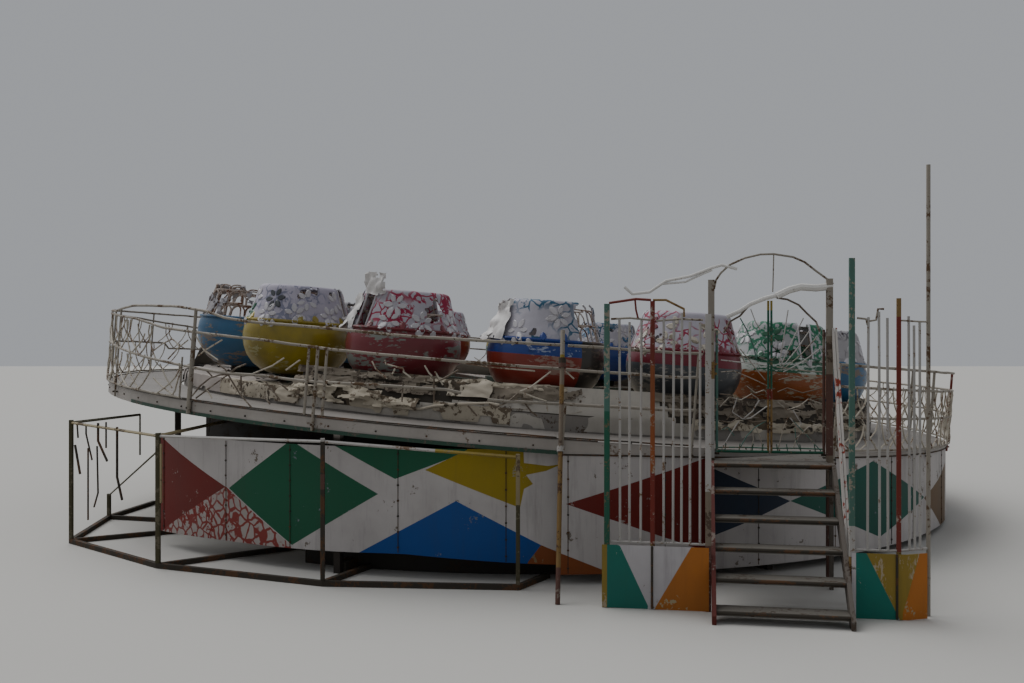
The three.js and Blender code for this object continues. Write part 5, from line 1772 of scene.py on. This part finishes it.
# %% [markdown]
# The rim pole is a scaffold pipe that stands on the ground and leans against the end post of the railing.
# Its paint changes from brown at the foot through ochre to grey and yellow above, so it is a chain of
# short pipes in one line, each with its own colour and the same ends. Three clamps sit on it.
# %% Rim pole
POLE_FOOT = Vector((0.190, -6.420, 0.0))
POLE_HEAD = POLE_FOOT.lerp(Vector((0.264, -5.780, 2.250)), 1.045)
POLE_RADIUS, CLAMP_RADIUS = 0.021, 0.034
POLE_BANDS = [(0.0, BROWN), (0.127, OCHRE), (0.56, TAN), (0.714, OCHRE), (0.79, TAN), (0.875, YELLOW),
              (0.905, GREY), (1.0, GREY)]  # share of the way up, colour
CLAMPS = ((0.55, WHITE), (0.865, BROWN), (0.882, STEEL))


def rim_pole():
    bm = bmesh.new()
    pieces = [(low, high, POLE_RADIUS, material)
              for (low, material), (high, _) in zip(POLE_BANDS, POLE_BANDS[1:])]
    pieces += [(t - 0.010, t + 0.010, CLAMP_RADIUS, material) for t, material in CLAMPS]
    for low, high, radius, material in pieces:
        rod(bm, POLE_FOOT.lerp(POLE_HEAD, low), POLE_FOOT.lerp(POLE_HEAD, high), radius, 12, material)
    finish_piece("rim_pole_pipe", bm, "base", enamels, ["rim_pole"])


rim_pole()

# %% [markdown]
# A light frame of angle bars stands round the near left side, with posts, top rails and a brace. Its
# paint is a dark olive with paler coats over it in places. In the open bay on the left, sticks and strips
# of old sheeting hang from the top rail. Each is given by where its ends are in the picture, and lies in
# the upright plane of the frame's own side.
# %% Outer frame
FRAME_CORNERS = [Vector((x, y, 0)) for x, y in (
    (-0.146, -5.890), (-1.942, -5.740), (-3.716, -4.970), (-5.120, -3.680), (-5.308, -2.090))]
SILL_TOP = 0.0505
BRACE_HEAD, BRACE_FOOT = 1.165, 0.300
TIE_END = Vector((-3.500, -3.250, 1.330))
RAIL_END, BAR_DROP = Vector((-5.160, -1.400, 1.275)), 0.538
frame_tan = weathered("frame_tan", "#8f8261", "#5a4c3c", chips=0.34, chip_size=0.03)
frame_paints = [olive_enamel, white_enamel, frame_tan, yellow_enamel, brown_enamel, bare_steel]
OLIVE, FRAME_WHITE, FRAME_TAN, FRAME_YELLOW, FRAME_BROWN, FRAME_STEEL = range(6)
FRAME_POSTS = [  # height of the top, width, colours from the foot up
    (1.230, 0.038, [(0, OLIVE), (0.72, FRAME_TAN)]),
    (1.360, 0.038, [(0, FRAME_STEEL), (0.84, FRAME_BROWN), (0.98, FRAME_STEEL), (1.28, FRAME_WHITE)]),
    (1.341, 0.045, [(0, OLIVE)]), (1.374, 0.042, [(0, OLIVE)]), (0.320, 0.045, [(0, OLIVE)]),
]
HANGING = [
    [(77, 423), (78, 438)], [(75, 445), (80, 474)], [(86, 425), (86, 434), (92, 460)],
    [(88, 448), (88, 470), (88, 520)], [(98, 423), (98, 441), (107, 461)],
    [(97, 446), (98, 493), (94, 507)], [(106, 422), (106, 448)], [(117, 427), (117, 477), (122, 500)],
]


def outer_frame():
    bm = bmesh.new()
    corners = FRAME_CORNERS
    for corner, (top, width, bands) in zip(corners, FRAME_POSTS):
        post(bm, (corner.x, corner.y, SILL_TOP), top, width, bands)
    tops = [corner + Vector((0, 0, top - 0.030)) for corner, (top, _, _) in zip(corners, FRAME_POSTS)]
    half = tops[0].lerp(tops[1], 0.42)
    brace = corners[2] + Vector((0, 0, BRACE_HEAD)), corners[4] + Vector((0, 0, BRACE_FOOT))
    for start, end, radius, material in (
            (tops[0], half, 0.016, FRAME_YELLOW), (half, tops[1], 0.015, FRAME_WHITE),
            (tops[1], tops[2], 0.014, FRAME_WHITE), (tops[2], tops[3], 0.015, FRAME_TAN),
            (*brace, 0.012, OLIVE), (tops[2], TIE_END, 0.018, FRAME_TAN), (tops[3], RAIL_END, 0.016, OLIVE),
            (RAIL_END, RAIL_END - Vector((0, 0, BAR_DROP)), 0.012, OLIVE)):
        rod(bm, start, end, radius, 4, material)
    normal = (corners[3] - corners[2]).cross(Vector((0, 0, 1))).normalized()
    strip = [seen_on_plane(161, py, corners[2] - normal * 0.03, normal) for py in (444, 503)]
    rod(bm, *strip, 0.012, 4, FRAME_TAN)
    sticks = [(0.014 if k % 3 == 1 else 0.010, FRAME_STEEL, pixels) for k, pixels in enumerate(HANGING)]
    traced(bm, lambda px, py: seen_on_plane(px, py, corners[2], normal), sticks)
    finish_piece("outer_frame_bars", bm, "base", frame_paints, ["outer_frame_rail"])


outer_frame()

# %% [markdown]
# Under the walkway it is dark, and that shade is painted: a dark upright plate all along the inner edge
# and low dark beams on the ground behind the skirt stand for it. Both are narrow rings, made from a
# rectangle that is spun round the axis, and they show through the gaps over and under the skirt.
# %% Painted shade under the walkway
# painted shade: dark rings that stand for the shade under the deck
SHADE_PLATE = (-50, 2, 4.838, 4.846, -0.520, -0.030)  # start, end, inner, outer, low, high
GROUND_SHADE_BEAM = (-26, 20, 5.15, 5.25, 0.0, 0.165)
under_shade_paint = weathered("under_shade_paint", "#26221e", "#3a3028", chips=0.4)


def shade_under_walkway():
    bm = bmesh.new()
    bmesh.ops.transform(bm, matrix=deck, verts=ring_beam(bm, *SHADE_PLATE))
    ring_beam(bm, *GROUND_SHADE_BEAM)
    finish_piece("shade_rings_under_deck", bm, "base", [under_shade_paint])


shade_under_walkway()
